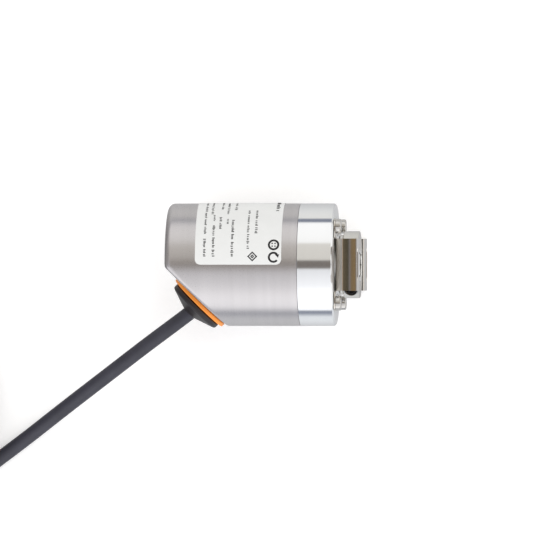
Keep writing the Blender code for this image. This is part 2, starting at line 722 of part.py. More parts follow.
def type_label(shaft_frame):
    """A thin label over the top of the housing, from the top line round to the +Y side."""
    inner = BODY_RADIUS + 0.06 * MM
    outer = inner + 0.12 * MM
    rear, front = -40.8 * MM, -15.15 * MM
    wrap = math.radians(118.0)
    steps = 22
    bm = bmesh.new()
    for radius in (inner, outer):
        for x in (rear, front):
            for i in range(steps + 1):
                angle = wrap * i / steps
                bm.verts.new((x, radius * math.sin(angle), radius * math.cos(angle)))
    bm.verts.ensure_lookup_table()
    row = steps + 1
    loops = [(0, row), (row, 3 * row), (3 * row, 2 * row), (2 * row, 0)]
    for first, second in loops:
        for i in range(steps):
            bm.faces.new([bm.verts[k] for k in (first + i, first + i + 1, second + i + 1, second + i)])
    for i in (0, steps):
        bm.faces.new([bm.verts[k] for k in (i, row + i, 3 * row + i, 2 * row + i)])
    finish("type_label", bm, "label", shaft_frame)


def cable_parts():
    for name, places in (("cable", CABLE_ROUTE), ("cable_tail", TAIL_ROUTE)):
        route = smooth_route([Vector(place) * MM for place in places], 8 * MM)
        tube(name, route, CABLE_RADIUS, "jacket")

    coil_frame = empty("coil_axis", COIL_CENTRE)
    coil_frame.rotation_euler.y = -math.pi / 2  # its +X points up
    inner, outer = COIL_INNER - CABLE_RADIUS, COIL_OUTER + CABLE_RADIUS
    bottom, top = COIL_BASE, COIL_BASE + COIL_LAYERS * 2 * CABLE_RADIUS
    edge = CABLE_RADIUS * 0.6
    turned("cable_coil", [
        (bottom, inner + edge), (bottom, outer - edge), (bottom + edge, outer), (top - edge, outer),
        (top, outer - edge), (top, inner + edge), (top - edge, inner), (bottom + edge, inner),
    ], "jacket", coil_frame, segments=36)
    for name, heading in (("a", 75.0), ("b", -105.0)):
        tie_frame = empty(f"tie_{name}_axis", COIL_CENTRE, math.radians(heading))
        coil_tie(f"coil_tie_{name}", inner, outer, bottom, top, tie_frame)


def coil_tie(name, inner, outer, bottom, top, frame):
    """A flat strap round the coil's turns; its loop lies in the frame's XZ plane."""
    clear = FIT
    low = [(inner - clear, bottom - clear), (outer + clear, top + clear)]
    bm = bmesh.new()
    rings = []
    for grow in (0.0, TIE_THICKNESS):
        (x0, z0), (x1, z1) = low
        x0, z0, x1, z1 = x0 - grow, z0 - grow, x1 + grow, z1 + grow
        corners = [(x0, z0), (x1, z0), (x1, z1), (x0, z1)]
        for y in (-TIE_WIDTH / 2, TIE_WIDTH / 2):
            rings.append([bm.verts.new((x, y, z)) for x, z in corners])
    order = [0, 1, 3, 2]
    for first, second in zip(order, order[1:] + order[:1]):
        for i in range(4):
            j = (i + 1) % 4
            bm.faces.new((rings[first][i], rings[first][j], rings[second][j], rings[second][i]))
    finish(name, bm, "rubber", frame)


def plug(plug_frame):
    """A round field connector: moulded body, contact carrier with its pins, and a knurled nut that turns."""
    collar, carrier = 5.2 * MM, 4.2 * MM
    turned("plug_body", [
        (0.0, 0.0),
        (0.0, 2.9 * MM),
        (7 * MM, 3.6 * MM),
        (9 * MM, 6.1 * MM),
        (23 * MM, 6.4 * MM),
        (23.6 * MM, 6.0 * MM),
        (23.6 * MM, collar),
        (29.5 * MM, collar),
        (29.5 * MM, 0.0),
    ], "black_plastic", plug_frame, segments=24, closed=False)
    insert = turned("plug_insert", [(29.8 * MM, 0.0), (29.8 * MM, carrier), (36.5 * MM, carrier), (36.5 * MM, 0.0)],
                    "black_plastic", plug_frame, segments=24, closed=False)
    places = [Vector((0.0, 0.0, 0.0)), *around(4, 2.5 * MM, 0.0, start=math.radians(45.0))]
    step = Vector((MM, 0.0, 0.0))
    pins = bmesh.new()
    for place in places:
        add_rod(pins, place + step * 34, place + step * 40.5, 0.5 * MM, 8)
    boolean(insert, guide("plug_pins", pins, plug_frame), "UNION")
    thread_outer, thread_inner = 6.0 * MM, 5.0 * MM
    turned("plug_nut", [
        (23.9 * MM, collar + FIT),
        (23.9 * MM, NUT_RADIUS - 0.3 * MM),
        (24.2 * MM, NUT_RADIUS),
        (31.5 * MM, NUT_RADIUS),
        (31.8 * MM, thread_outer),
        (41.2 * MM, thread_outer),
        (41.2 * MM, thread_inner),
        (30.0 * MM, thread_inner),
        (30.0 * MM, collar + FIT),
    ], "screw_steel", plug_frame, segments=24)


def main():
    for item in list(bpy.data.objects):
        bpy.data.objects.remove(item, do_unlink=True)
    shaft_frame = empty("shaft_axis", (FACE_X, 0.0, AXIS_HEIGHT))
    slope = math.radians(45.0)
    gland_x = -BODY_LENGTH + GLAND_ALONG * math.cos(slope)
    gland_y = -FACET_DROP - GLAND_ALONG * math.sin(slope)
    gland_frame = empty("gland_axis", (gland_x, gland_y, 0.0), math.radians(225.0))
    gland_frame.parent = shaft_frame
    plug_frame = empty("plug_axis", (TAIL_ROUTE[-1][0] * MM + GAP, TAIL_ROUTE[-1][1] * MM, PLUG_AXIS))

    rear_housing(shaft_frame, gland_frame)
    front_flange(shaft_frame)
    bearing_parts(shaft_frame)
    hollow_shaft(shaft_frame)
    clamp_ring(shaft_frame)
    stator_coupling(shaft_frame)
    coupling_fasteners(shaft_frame)
    code_disc_parts(shaft_frame)
    optics(shaft_frame)
    circuit_board(shaft_frame)
    board_components(shaft_frame)
    gland(shaft_frame, gland_frame)
    type_label(shaft_frame)
    cable_parts()
    plug(plug_frame)


main()
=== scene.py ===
"""Looks of the rotary encoder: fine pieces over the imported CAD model, materials, light and camera.

Pieces are built in the shaft frame, with X along the shaft and its origin at the centre of the
flange's face, or in the frame of the gland, screw, plug or coil that they belong to.
"""

import math
import random

import bmesh
import bpy
import numpy as np
from mathutils import Matrix, Vector


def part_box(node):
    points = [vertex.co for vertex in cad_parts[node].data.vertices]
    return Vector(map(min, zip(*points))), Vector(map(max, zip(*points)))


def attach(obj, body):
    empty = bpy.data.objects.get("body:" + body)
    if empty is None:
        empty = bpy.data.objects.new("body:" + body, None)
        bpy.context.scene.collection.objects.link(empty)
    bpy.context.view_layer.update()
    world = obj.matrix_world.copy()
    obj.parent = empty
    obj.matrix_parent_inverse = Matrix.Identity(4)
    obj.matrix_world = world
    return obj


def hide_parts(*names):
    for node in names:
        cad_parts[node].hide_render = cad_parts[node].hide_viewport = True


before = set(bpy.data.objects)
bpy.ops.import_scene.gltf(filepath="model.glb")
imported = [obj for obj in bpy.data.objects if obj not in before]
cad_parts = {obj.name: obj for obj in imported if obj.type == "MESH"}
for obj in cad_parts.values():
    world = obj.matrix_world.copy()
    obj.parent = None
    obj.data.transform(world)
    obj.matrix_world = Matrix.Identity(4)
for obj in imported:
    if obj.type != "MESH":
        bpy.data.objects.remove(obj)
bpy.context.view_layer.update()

MM = 0.001
GAP = 0.3 * MM  # beside the coupling's wings
FIT = 0.15 * MM  # between pieces that nearly touch
SEAM = 0.06 * MM  # between housing and flange

# Encoder body
BODY_RADIUS = 18.25 * MM
BODY_LENGTH = 50.0 * MM
FLANGE_LENGTH = 10.6 * MM
WALL = 1.5 * MM
FACET_WALL = 2.0 * MM
REAR_FILLET = 2.0 * MM
FACET_DROP = 0.7 * MM
FACET_ROUNDING = 1.5 * MM
GLAND_ALONG = 13.9 * MM
BOSS_RADIUS = 8.85 * MM
BOSS_HEIGHT = 1.0 * MM
SPIGOT_RADIUS = 16.45 * MM

# Shaft, clamp ring and coupling
SHAFT_RADIUS = 5.0 * MM
SHAFT_FRONT = 7.3 * MM
BORE_RADIUS = 4.0 * MM
BORE_END = -14.0 * MM
RING_RADIUS = 10.0 * MM
RING_REAR = 2.4 * MM
RING_FRONT = 7.05 * MM
CLAMP_SCREW_OFFSET = 7.3 * MM
CLAMP_SCREW_END = -5.0 * MM
CLAMP_HEAD_RADIUS = 1.75 * MM
CLAMP_HEAD_HEIGHT = 2.0 * MM
COUNTERBORE_RADIUS = 1.95 * MM
COUNTERBORE_FLOOR = 1.0 * MM
SHEET = 0.35 * MM
LEG_OFFSET = 10.7 * MM
LEG_HALF_WIDTH = 7.75 * MM
EAR_REACH = 22.75 * MM
EAR_FACE = 7.6 * MM
ROOT_BEND = 2.55 * MM
EAR_BEND = 0.9 * MM
SLOT_RADIUS = 1.6 * MM
SLOT_HALF_LENGTH = 5.2 * MM
SLOT_OFFSET = 20.0 * MM
TAB_RADIUS = 2.3 * MM  # round the coupling's screws
SCREW_SIDE = 11.4 * MM
SCREW_RISE = 10.9 * MM
SCREW_HEAD_RADIUS = 2.15 * MM
SCREW_HEAD_HEIGHT = 1.5 * MM

# Label, from the top line of the housing round to the +Y side
LABEL_REAR = -40.8 * MM
LABEL_FRONT = -15.15 * MM
LABEL_WRAP = math.radians(118.0)
LABEL_RADIUS = 18.43 * MM
LABEL_THICKNESS = 0.12 * MM
LABEL_CORNER = 1.6 * MM

# Gland, cable and plug
CABLE_RADIUS = 2.15 * MM
GLAND_RADIUS = 9.8 * MM
RELIEF_RADIUS = 8.6 * MM
RELIEF_HEIGHT = 5.5 * MM
STEM_RADIUS = 5.0 * MM
NUT_RADIUS = 7.1 * MM
PLUG_AXIS = 7.2 * MM

# Coil of cable on the table
COIL_CENTRE = Vector((-117.6, -46.3, 0.0)) * MM
COIL_INNER = 19.8 * MM
COIL_OUTER = 31.2 * MM
COIL_BASE = 0.8 * MM
COIL_LAYERS = 4
COIL_RISE = 0.25  # turns that the cable takes to climb to its next layer
COIL_START = math.radians(-52.5)
COIL_END = math.radians(180.0)
COIL_TURNS = 12 - (COIL_END - COIL_START) / math.tau
TIE_THICKNESS = 0.5 * MM
TIE_WIDTH = 4.0 * MM
TIE_HEADINGS = {"a": 75.0, "b": -105.0}

# Centreline of the cable where it isn't coiled, in the row frame in millimetres
CABLE_ROUTE = [
    (-21.6, -13.3, 22.75),
    (-23.15, -14.75, 22.75),
    (-27.5, -18.0, 22.6),
    (-36.2, -24.4, 21.2),
    (-48.7, -33.7, 16.5),
    (-61.6, -43.2, 9.5),
    (-73.4, -52.1, 4.4),
    (-84.4, -60.3, 2.95),
]
TAIL_ROUTE = [
    (-148.8, -28.5, 12.8),
    (-148.8, -20.0, 10.4),
    (-147.3, -12.3, 8.6),
    (-142.9, -5.9, 7.6),
    (-136.5, -1.6, 7.25),
    (-131.5, -0.2, 7.2),
    (-127.0, 0.0, 7.2),
]

FACE_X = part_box("front_flange")[1].x - BOSS_HEIGHT
AXIS_HEIGHT = sum(corner.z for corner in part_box("hollow_shaft")) / 2
SHAFT_FRAME = Matrix.Translation((FACE_X, 0.0, AXIS_HEIGHT))
SLOPE = math.radians(45.0)  # of the facet
GLAND_PLACE = Vector((-BODY_LENGTH + GLAND_ALONG * math.cos(SLOPE),
                      -FACET_DROP - GLAND_ALONG * math.sin(SLOPE), 0.0))
GLAND_FRAME = SHAFT_FRAME @ Matrix.Translation(GLAND_PLACE) @ Matrix.Rotation(math.pi + SLOPE, 4, "Z")
PLUG_FRAME = Matrix.Translation((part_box("plug_body")[0].x, 0.0, PLUG_AXIS))
UPRIGHT = Matrix.Rotation(-math.pi / 2, 4, "Y")  # turns a piece made along X to stand along Z
RIPPLE = random.Random(36)


# ---- camera, light and floor


def add_object(name, data):
    made = bpy.data.objects.new(name, data)
    bpy.context.scene.collection.objects.link(made)
    return made


def camera():
    """A long lens straight above the shaft, turned slightly towards the coupling's end."""
    distance = 3.0
    yaw = math.radians(4.4)
    aim = Vector((0.3 * MM, -0.54 * MM, AXIS_HEIGHT))
    data = bpy.data.cameras.new("camera")
    data.sensor_width = 36.0
    data.lens = 680.1  # the photograph's scale
    data.clip_start = 0.05
    made = add_object("camera", data)
    made.location = aim + distance * Vector((math.sin(yaw), 0.0, math.cos(yaw)))
    made.rotation_euler.y = yaw
    bpy.context.scene.camera = made


# The studio's light around the shaft's axis: degrees from straight up towards +Y, and colour
STUDIO = [
    (-180, (0.52, 0.52, 0.53)),
    (-129, (0.82, 0.84, 0.86)),
    (-116, (0.80, 0.82, 0.85)),
    (-104, (0.27, 0.29, 0.35)),
    (-98, (0.25, 0.27, 0.33)),
    (-95, (1.05, 1.06, 1.08)),
    (-88, (1.40, 1.41, 1.43)),
    (-60, (1.35, 1.35, 1.37)),
    (-40, (1.03, 1.03, 1.05)),
    (-16, (0.88, 0.88, 0.90)),
    (-9, (0.84, 0.84, 0.86)),
    (8, (0.70, 0.67, 0.62)),
    (39, (0.73, 0.70, 0.65)),
    (43, (1.02, 1.01, 0.99)),
    (54, (1.06, 1.05, 1.03)),
    (86, (1.08, 1.07, 1.06)),
    (88, (0.20, 0.22, 0.28)),
    (96, (0.20, 0.22, 0.28)),
    (98, (0.84, 0.83, 0.80)),
    (120, (0.78, 0.78, 0.77)),
    (147, (0.64, 0.64, 0.64)),
    (180, (0.52, 0.52, 0.53)),
]

# The band straight overhead, by the direction's X: dark and brown, and paler towards the rear
OVERHEAD = [
    (-1.0, (0.50, 0.49, 0.52)),
    (-0.34, (0.54, 0.53, 0.56)),
    (-0.22, (0.40, 0.31, 0.22)),
    (-0.17, (0.12, 0.10, 0.07)),
    (-0.10, (0.07, 0.065, 0.045)),
    (-0.085, (0.20, 0.19, 0.20)),
    (-0.06, (0.23, 0.21, 0.21)),
    (-0.04, (0.22, 0.165, 0.10)),
    (0.05, (0.27, 0.19, 0.10)),
    (0.10, (0.34, 0.32, 0.31)),
    (0.30, (0.11, 0.11, 0.11)),
    (0.75, (0.11, 0.11, 0.11)),
    (1.0, (0.50, 0.49, 0.49)),
]
OVERHEAD_MIDDLE = math.radians(0.3)
OVERHEAD_HALF_WIDTH = (math.radians(9.0), math.radians(6.5))  # where it begins and where it is full
REAR_DIMMING = (-0.25, -0.95)  # the direction's X where the tent begins to darken and is darkest
REAR_SHADE = (0.45, 0.44, 0.44)
NEAR_SIDE = (-0.5, -0.15)  # the direction's Y where the rear isn't dimmed, and where it is in full
FRONT_LIGHTING = (0.72, 0.88)  # the direction's X where the front's white screen begins and is full
FRONT_WHITE = (1.05, 1.04, 1.02)
BACKDROP = (0.95, 0.95, 0.95)


class Nodes:
    """Adds nodes to a node tree and links them."""

    def __init__(self, tree):
        self.tree = tree

    def node(self, kind, inputs=(), **settings):
        """A new node; inputs are sockets' values or the outputs that feed them, by name or number."""
        made = self.tree.nodes.new(kind)
        for key, value in settings.items():
            setattr(made, key, value)
        for socket, value in dict(inputs).items():
            if isinstance(value, bpy.types.NodeSocket):
                self.tree.links.new(value, made.inputs[socket])
            else:
                made.inputs[socket].default_value = value
        return made

    def math(self, operation, first, second=0.0):
        return self.node("ShaderNodeMath", {0: first, 1: second}, operation=operation).outputs[0]

    def scaled(self, value, start, end, low=0.0, high=1.0, **settings):
        """The value's range from start to end stretched to run from low to high, and held there."""
        sockets = {"Value": value, "From Min": start, "From Max": end, "To Min": low, "To Max": high}
        return self.node("ShaderNodeMapRange", sockets, **settings).outputs[0]

    def ramp(self, value, stops):
        """A colour for each value, from (value, colour) stops."""
        made = self.node("ShaderNodeValToRGB", {"Fac": value})
        elements = made.color_ramp.elements
        while len(elements) < len(stops):
            elements.new(1.0)
        for element, (position, colour) in zip(elements, stops):
            element.position = position
            element.color = (*colour, 1.0)
        return made.outputs["Color"]

    def mix(self, share, first, second, blend="MIX"):
        """Two colours mixed; the second may be a plain colour."""
        if isinstance(second, tuple):
            second = (*second, 1.0)
        sockets = {0: share, 6: first, 7: second}
        return self.node("ShaderNodeMix", sockets, data_type="RGBA", blend_type=blend).outputs[2]


def studio():
    """A white tent with a few dark gaps, seen in the metal; the camera itself sees plain white."""
    world = bpy.data.worlds.new("studio")
    bpy.context.scene.world = world
    world.use_nodes = True
    world.cycles.sampling_method = "NONE"
    nodes = Nodes(world.node_tree)
    direction = nodes.node("ShaderNodeTexCoord").outputs["Generated"]
    split = nodes.node("ShaderNodeSeparateXYZ", {0: direction})
    along, across, up = (split.outputs[axis] for axis in ("X", "Y", "Z"))
    angle = nodes.math("ARCTAN2", across, up)
    tent = nodes.ramp(nodes.scaled(angle, -math.pi, math.pi),
                      [(degrees / 360 + 0.5, colour) for degrees, colour in STUDIO])
    rear = nodes.scaled(along, *REAR_DIMMING, interpolation_type="SMOOTHSTEP")
    off_near_side = nodes.scaled(across, *NEAR_SIDE)
    dimmed = nodes.mix(nodes.math("MULTIPLY", rear, off_near_side), tent, REAR_SHADE, blend="MULTIPLY")
    lit = nodes.mix(nodes.scaled(along, *FRONT_LIGHTING), dimmed, FRONT_WHITE)
    off_middle = nodes.math("ABSOLUTE", nodes.math("SUBTRACT", angle, OVERHEAD_MIDDLE))
    in_band = nodes.scaled(off_middle, *OVERHEAD_HALF_WIDTH)
    first, last = OVERHEAD[0][0], OVERHEAD[-1][0]
    overhead = nodes.ramp(nodes.scaled(along, first, last),
                          [((x - first) / (last - first), colour) for x, colour in OVERHEAD])
    banded = nodes.mix(in_band, lit, overhead)
    by_camera = nodes.node("ShaderNodeLightPath").outputs["Is Camera Ray"]
    seen = nodes.mix(by_camera, banded, BACKDROP)
    nodes.tree.links.new(seen, nodes.tree.nodes["Background"].inputs["Color"])


def soft_box(name, place, size, power):
    """A large area light over the object that the metal doesn't mirror."""
    data = bpy.data.lights.new(name, "AREA")
    data.shape = "SQUARE"
    data.size = size
    data.energy = power
    made = add_object(name, data)
    made.location = place
    target = Vector((0.0, 0.0, 0.02))
    made.rotation_euler = (target - Vector(place)).to_track_quat("-Z", "Y").to_euler()
    made.visible_glossy = False


def floor():
    """A sheet of white paper, lit a little from within so that it stays white round the shadow."""
    half = 1.5
    bm = bmesh.new()
    corners = [(-half, -half, 0.0), (half, -half, 0.0), (half, half, 0.0), (-half, half, 0.0)]
    bm.faces.new([bm.verts.new(corner) for corner in corners])
    mesh = bpy.data.meshes.new("floor")
    bm.to_mesh(mesh)
    bm.free()
    paper = Recipe("paper", (0.86, 0.86, 0.86), 0.9, Emission_Strength=0.30)
    paper.shader.inputs["Emission Color"].default_value = (1.0, 1.0, 1.0, 1.0)
    paper.grain(paper.place(), 900.0, 0.02 * MM)
    mesh.materials.append(paper.material)
    made = add_object("floor", mesh)
    made.visible_glossy = False


# ---- materials

NOISE_MIDDLE = (0.3, 0.7)  # where most of a noise's values lie


class Recipe(Nodes):
    """One procedural material: a Principled shader and the nodes that feed it."""

    def __init__(self, name, colour, roughness, metallic=0.0, **constants):
        self.material = bpy.data.materials.new(name)
        self.material.use_nodes = True
        super().__init__(self.material.node_tree)
        self.shader = self.tree.nodes["Principled BSDF"]
        self.colour = colour
        self.roughness = roughness
        self.shader.inputs["Base Color"].default_value = (*colour, 1.0)
        self.shader.inputs["Roughness"].default_value = roughness
        self.shader.inputs["Metallic"].default_value = metallic
        for socket, value in constants.items():
            self.shader.inputs[socket.replace("_", " ")].default_value = value

    def place(self, shift=(0.0, 0.0, 0.0)):
        """The piece's own coordinates, in metres, counted from shift."""
        where = self.node("ShaderNodeTexCoord").outputs["Object"]
        if any(shift):
            sockets = {0: where, 1: shift}
            where = self.node("ShaderNodeVectorMath", sockets, operation="SUBTRACT").outputs[0]
        return where

    def turned(self, shift=(0.0, 0.0, 0.0), drift=0.4 * MM):
        """Coordinates that hardly change around X, so that noise in them becomes turning marks."""
        split = self.node("ShaderNodeSeparateXYZ", {0: self.place(shift)})
        across, up = split.outputs["Y"], split.outputs["Z"]
        radius = self.math("SQRT", self.math("ADD", self.math("MULTIPLY", across, across),
                                             self.math("MULTIPLY", up, up)))
        angle = self.math("MULTIPLY", self.math("ARCTAN2", across, up), drift)
        sockets = {0: split.outputs["X"], 1: radius, 2: angle}
        return self.node("ShaderNodeCombineXYZ", sockets).outputs[0]

    def noise(self, where, scale, detail=3.0, roughness=0.55):
        sockets = {"Vector": where, "Scale": scale, "Detail": detail, "Roughness": roughness}
        return self.node("ShaderNodeTexNoise", sockets).outputs["Fac"]

    def tint(self, value, darker, lighter=1.0):
        """Vary the colour with a noise's middle range, between these shares of itself."""
        stops = [(place, tuple(min(1.0, c * share) for c in self.colour))
                 for place, share in zip(NOISE_MIDDLE, (darker, lighter))]
        self.tree.links.new(self.ramp(value, stops), self.shader.inputs["Base Color"])

    def dull(self, value, amount):
        """Vary the roughness with a noise's middle range, by amount either way."""
        varied = self.scaled(value, *NOISE_MIDDLE, self.roughness - amount, self.roughness + amount)
        self.tree.links.new(varied, self.shader.inputs["Roughness"])

    def raise_by(self, height, distance):
        """Bump the surface; a second call adds to the first."""
        bump = self.node("ShaderNodeBump", {"Height": height, "Distance": distance})
        socket = self.shader.inputs["Normal"]
        if socket.is_linked:
            self.tree.links.new(socket.links[0].from_socket, bump.inputs["Normal"])
        self.tree.links.new(bump.outputs[0], socket)

    def grain(self, where, scale, distance, darker=0.94):
        """Fine even grain in both colour and height."""
        value = self.noise(where, scale)
        self.tint(value, darker)
        self.raise_by(value, distance)


def turned_metal(name, colour, roughness, mark=2600.0, depth=6.0e-6, streak=0.05, shift=(0.0, 0.0, 0.0)):
    """Metal with fine turning marks round its axis and faint wider bands."""
    made = Recipe(name, colour, roughness, 1.0)
    around = made.turned(shift)
    fine = made.noise(around, mark, 4.0)
    band = made.noise(around, 420.0, 2.0)
    made.tint(band, 1.0 - streak, 1.0 + streak / 2)
    made.dull(fine, roughness * 0.18)
    made.raise_by(fine, depth)
    return made.material


def housing_steel():
    """Satin stainless steel, turned and then glass-blasted: fine speckle over faint bands."""
    made = Recipe("housing_steel", (0.60, 0.58, 0.585), 0.31, 1.0)
    around = made.turned()
    band = made.noise(around, 520.0, 3.0)
    speckle = made.noise(made.place(), 5200.0, 3.0, 0.6)
    made.tint(band, 0.965, 1.015)
    made.dull(speckle, 0.05)
    made.raise_by(speckle, 2.5e-6)
    made.raise_by(made.noise(around, 1800.0), 1.0e-6)
    return made.material


def flange_aluminium():
    """Aluminium with a polished side and chamfer and a finely blasted face."""
    made = Recipe("flange_aluminium", (0.90, 0.91, 0.92), 0.10, 1.0)
    around = made.turned()
    fine = made.noise(around, 3800.0, 4.0)
    made.tint(made.noise(around, 420.0, 2.0), 0.985, 1.0)
    made.raise_by(fine, 1.2e-6)
    along = made.node("ShaderNodeSeparateXYZ", {0: made.place()}).outputs["X"]
    side, face = -0.12 * MM, -0.04 * MM
    blasted = 0.42
    evenly = made.scaled(along, side, face, made.roughness, blasted)
    varied = made.math("ADD", evenly, made.math("MULTIPLY", fine, 0.04))
    made.tree.links.new(varied, made.shader.inputs["Roughness"])
    return made.material


def sheet_steel():
    """Spring steel strip: a bright rolled face with faint lines along its length."""
    made = Recipe("sheet_steel", (0.80, 0.76, 0.70), 0.08, 1.0)
    stretch = made.node("ShaderNodeMapping", {"Vector": made.place(), "Scale": (1.0, 1.0, 0.06)})
    lines = made.noise(stretch.outputs[0], 5200.0, 4.0)
    made.tint(made.noise(made.place(), 300.0), 0.94, 1.03)
    made.dull(lines, 0.02)
    made.raise_by(lines, 0.5e-6)
    return made.material


def bright_steel():
    return turned_metal("bright_steel", (0.80, 0.79, 0.76), 0.13, 5200.0, 1.0e-6, streak=0.03)


def screw_steel():
    return turned_metal("screw_steel", (0.60, 0.585, 0.56), 0.14, 5200.0, 1.0e-6)


def black_oxide():
    return turned_metal("black_oxide", (0.05, 0.05, 0.055), 0.3)


def pin_gold():
    return turned_metal("pin_gold", (0.92, 0.73, 0.38), 0.18)


def ring_steel():
    return turned_metal("ring_steel", (0.74, 0.725, 0.69), 0.19, 4200.0, 1.4e-6, streak=0.04)


def moulded(name, colour, roughness, grain=5.4e-6):
    """Moulded plastic: an even fine-grained skin with slight flow marks."""
    made = Recipe(name, colour, roughness)
    fine = made.noise(made.place(), 4200.0, 3.0, 0.6)
    flow = made.noise(made.place(), 160.0, 2.0)
    made.tint(flow, 0.93, 1.04)
    made.dull(fine, 0.06)
    made.raise_by(fine, grain)
    return made.material


def orange_elastomer():
    return moulded("orange_elastomer", (1.0, 0.32, 0.035), 0.34)


def boot_plastic():
    return moulded("boot_plastic", (0.017, 0.0135, 0.015), 0.45, grain=7.2e-6)


def plug_plastic():
    return moulded("plug_plastic", (0.022, 0.022, 0.023), 0.45)


def cable_jacket():
    """Matt polyurethane jacket, slightly uneven along its length, with a faint dusty bloom."""
    made = Recipe("cable_jacket", (0.032, 0.032, 0.045), 0.48)
    fine = made.noise(made.place(), 3800.0, 4.0, 0.65)
    wide = made.noise(made.place(), 130.0, 3.0)
    made.tint(wide, 0.85, 1.25)
    made.dull(fine, 0.08)
    made.raise_by(fine, 5.0e-6)
    made.raise_by(wide, 20.0e-6)
    return made.material


def label_film():
    """Satin printed film: a silvery white face with slight waviness."""
    made = Recipe("label_film", (0.74, 0.75, 0.745), 0.34)
    wave = made.noise(made.place(), 240.0, 2.0)
    made.tint(wave, 0.985, 1.01)
    made.dull(made.noise(made.place(), 3000.0), 0.04)
    made.raise_by(wave, 8.0e-6)
    return made.material


def print_ink():
    made = Recipe("print_ink", (0.012, 0.012, 0.014), 0.55)
    made.grain(made.place(), 9000.0, 0.5e-6, 0.7)
    return made.material


def strap_weave():
    """Woven hook-and-loop strap: threads over and under."""
    made = Recipe("strap_weave", (0.022, 0.022, 0.024), 0.85, Sheen_Weight=0.3)
    split = made.node("ShaderNodeSeparateXYZ", {0: made.place()})
    threads = [made.math("SINE", made.math("MULTIPLY", split.outputs[axis], 5200.0)) for axis in "XYZ"]
    weave = made.math("MULTIPLY", made.math("ADD", threads[0], threads[2]), threads[1])
    fuzz = made.noise(made.place(), 6000.0, 4.0, 0.7)
    made.tint(fuzz, 0.6, 1.5)
    made.raise_by(weave, 25.0e-6)
    made.raise_by(fuzz, 20.0e-6)
    return made.material


def glass():
    made = Recipe("optical_glass", (0.86, 0.92, 0.94), 0.04, IOR=1.5, Transmission_Weight=0.9)
    made.dull(made.noise(made.place(), 900.0), 0.02)
    return made.material


def circuit_laminate():
    """Green solder mask over copper tracks."""
    made = Recipe("circuit_laminate", (0.015, 0.13, 0.05), 0.35)
    sockets = {"Vector": made.place(), "Scale": 700.0, "Mortar Size": 0.04}
    tracks = made.node("ShaderNodeTexBrick", sockets).outputs["Fac"]
    made.tint(tracks, 0.8, 1.5)
    made.raise_by(tracks, 15.0e-6)
    return made.material


# ---- building pieces


def finish(name, bm, skin, slot=None, stands_for=(), place=SHAFT_FRAME, body="stator"):
    """Turn a bmesh made in place's frame into a shown piece that rides on a body."""
    bmesh.ops.recalc_face_normals(bm, faces=bm.faces)
    mesh = bpy.data.meshes.new(name)
    bm.to_mesh(mesh)
    bm.free()
    mesh.materials.append(skin)
    piece = add_object(name, mesh)
    piece.matrix_world = place
    smooth(piece)
    return settle(piece, body, stands_for)


def smooth(piece):
    """Shade smoothly over shallow edges, with large faces flat right up to the roundings beside them."""
    piece.data.shade_smooth()
    piece.data.set_sharp_from_angle(angle=math.radians(32.0))
    step = piece.modifiers.new("normals", "WEIGHTED_NORMAL")
    step.keep_sharp = True


def settle(piece, body, stands_for):
    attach(piece, body)
    if stands_for:
        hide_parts(*stands_for)
    return piece


def rounded(corners, closed=False, steps=5):
    """An outline from (x, y, radius) corners, each rounded off with its radius."""
    outline = []
    last = len(corners) - 1
    for i, (x, y, radius) in enumerate(corners):
        corner = Vector((x, y))
        if radius == 0 or (not closed and i in (0, last)):
            outline.append((x, y))
            continue
        before = (Vector(corners[i - 1][:2]) - corner).normalized()
        after = (Vector(corners[(i + 1) % len(corners)][:2]) - corner).normalized()
        half = before.angle(after) / 2
        centre = corner + (before + after).normalized() * radius / math.sin(half)
        start = corner + before * radius / math.tan(half) - centre
        end = corner + after * radius / math.tan(half) - centre
        first = math.atan2(start.y, start.x)
        turn = math.remainder(math.atan2(end.y, end.x) - first, math.tau)
        for k in range(steps + 1):
            angle = first + turn * k / steps
            outline.append((centre.x + radius * math.cos(angle), centre.y + radius * math.sin(angle)))
    return outline


def arc(centre, radius, start, end, steps):
    """Points on an arc; angles in degrees."""
    angles = [math.radians(start + (end - start) * i / steps) for i in range(steps + 1)]
    return [(centre[0] + radius * math.cos(a), centre[1] + radius * math.sin(a)) for a in angles]


def skin_over(bm, rows, closed=False, around=True):
    """Quads from each row of vertices to the next; closed joins the last row to the first as well."""
    count = len(rows[0])
    for first, second in zip(rows, rows[1:] + rows[:1] if closed else rows[1:]):
        for i in range(count if around else count - 1):
            j = (i + 1) % count
            bm.faces.new((first[i], first[j], second[j], second[i]))


def lathe(outline, segments, closed=False, shape=None):
    """A surface turned about X from (x, radius) points; shape can change the radius round the axis."""
    bm = bmesh.new()
    rings = []
    for x, radius in outline:
        if radius < 1e-9:
            rings.append([bm.verts.new((x, 0.0, 0.0))])
            continue
        ring = []
        for i in range(segments):
            angle = math.tau * i / segments
            reach = shape(x, radius, angle) if shape else radius
            ring.append(bm.verts.new((x, reach * math.cos(angle), reach * math.sin(angle))))
        rings.append(ring)
    for first, second in zip(rings, rings[1:] + rings[:1] if closed else rings[1:]):
        for i in range(segments):
            j = i + 1
            quad = [ring[k % len(ring)] for ring, k in ((first, i), (first, j), (second, j), (second, i))]
            bm.faces.new(dict.fromkeys(quad))
    return bm


def turned(name, corners, skin, slot, stands_for, segments, closed=False, shape=None, **where):
    """A finished piece turned about X from rounded corners; where can give its place and body."""
    bm = lathe(rounded(corners, closed), segments, closed, shape)
    return finish(name, bm, skin, slot, stands_for, **where)


def box(centre, size, turn=0.0):
    """A box to cut with, turned about X by turn degrees."""
    bm = bmesh.new()
    place = Matrix.Translation(centre) @ Matrix.Rotation(math.radians(turn), 4, "X")
    bmesh.ops.create_cube(bm, size=1.0, matrix=place @ Matrix.Diagonal((*size, 1.0)))
    return bm


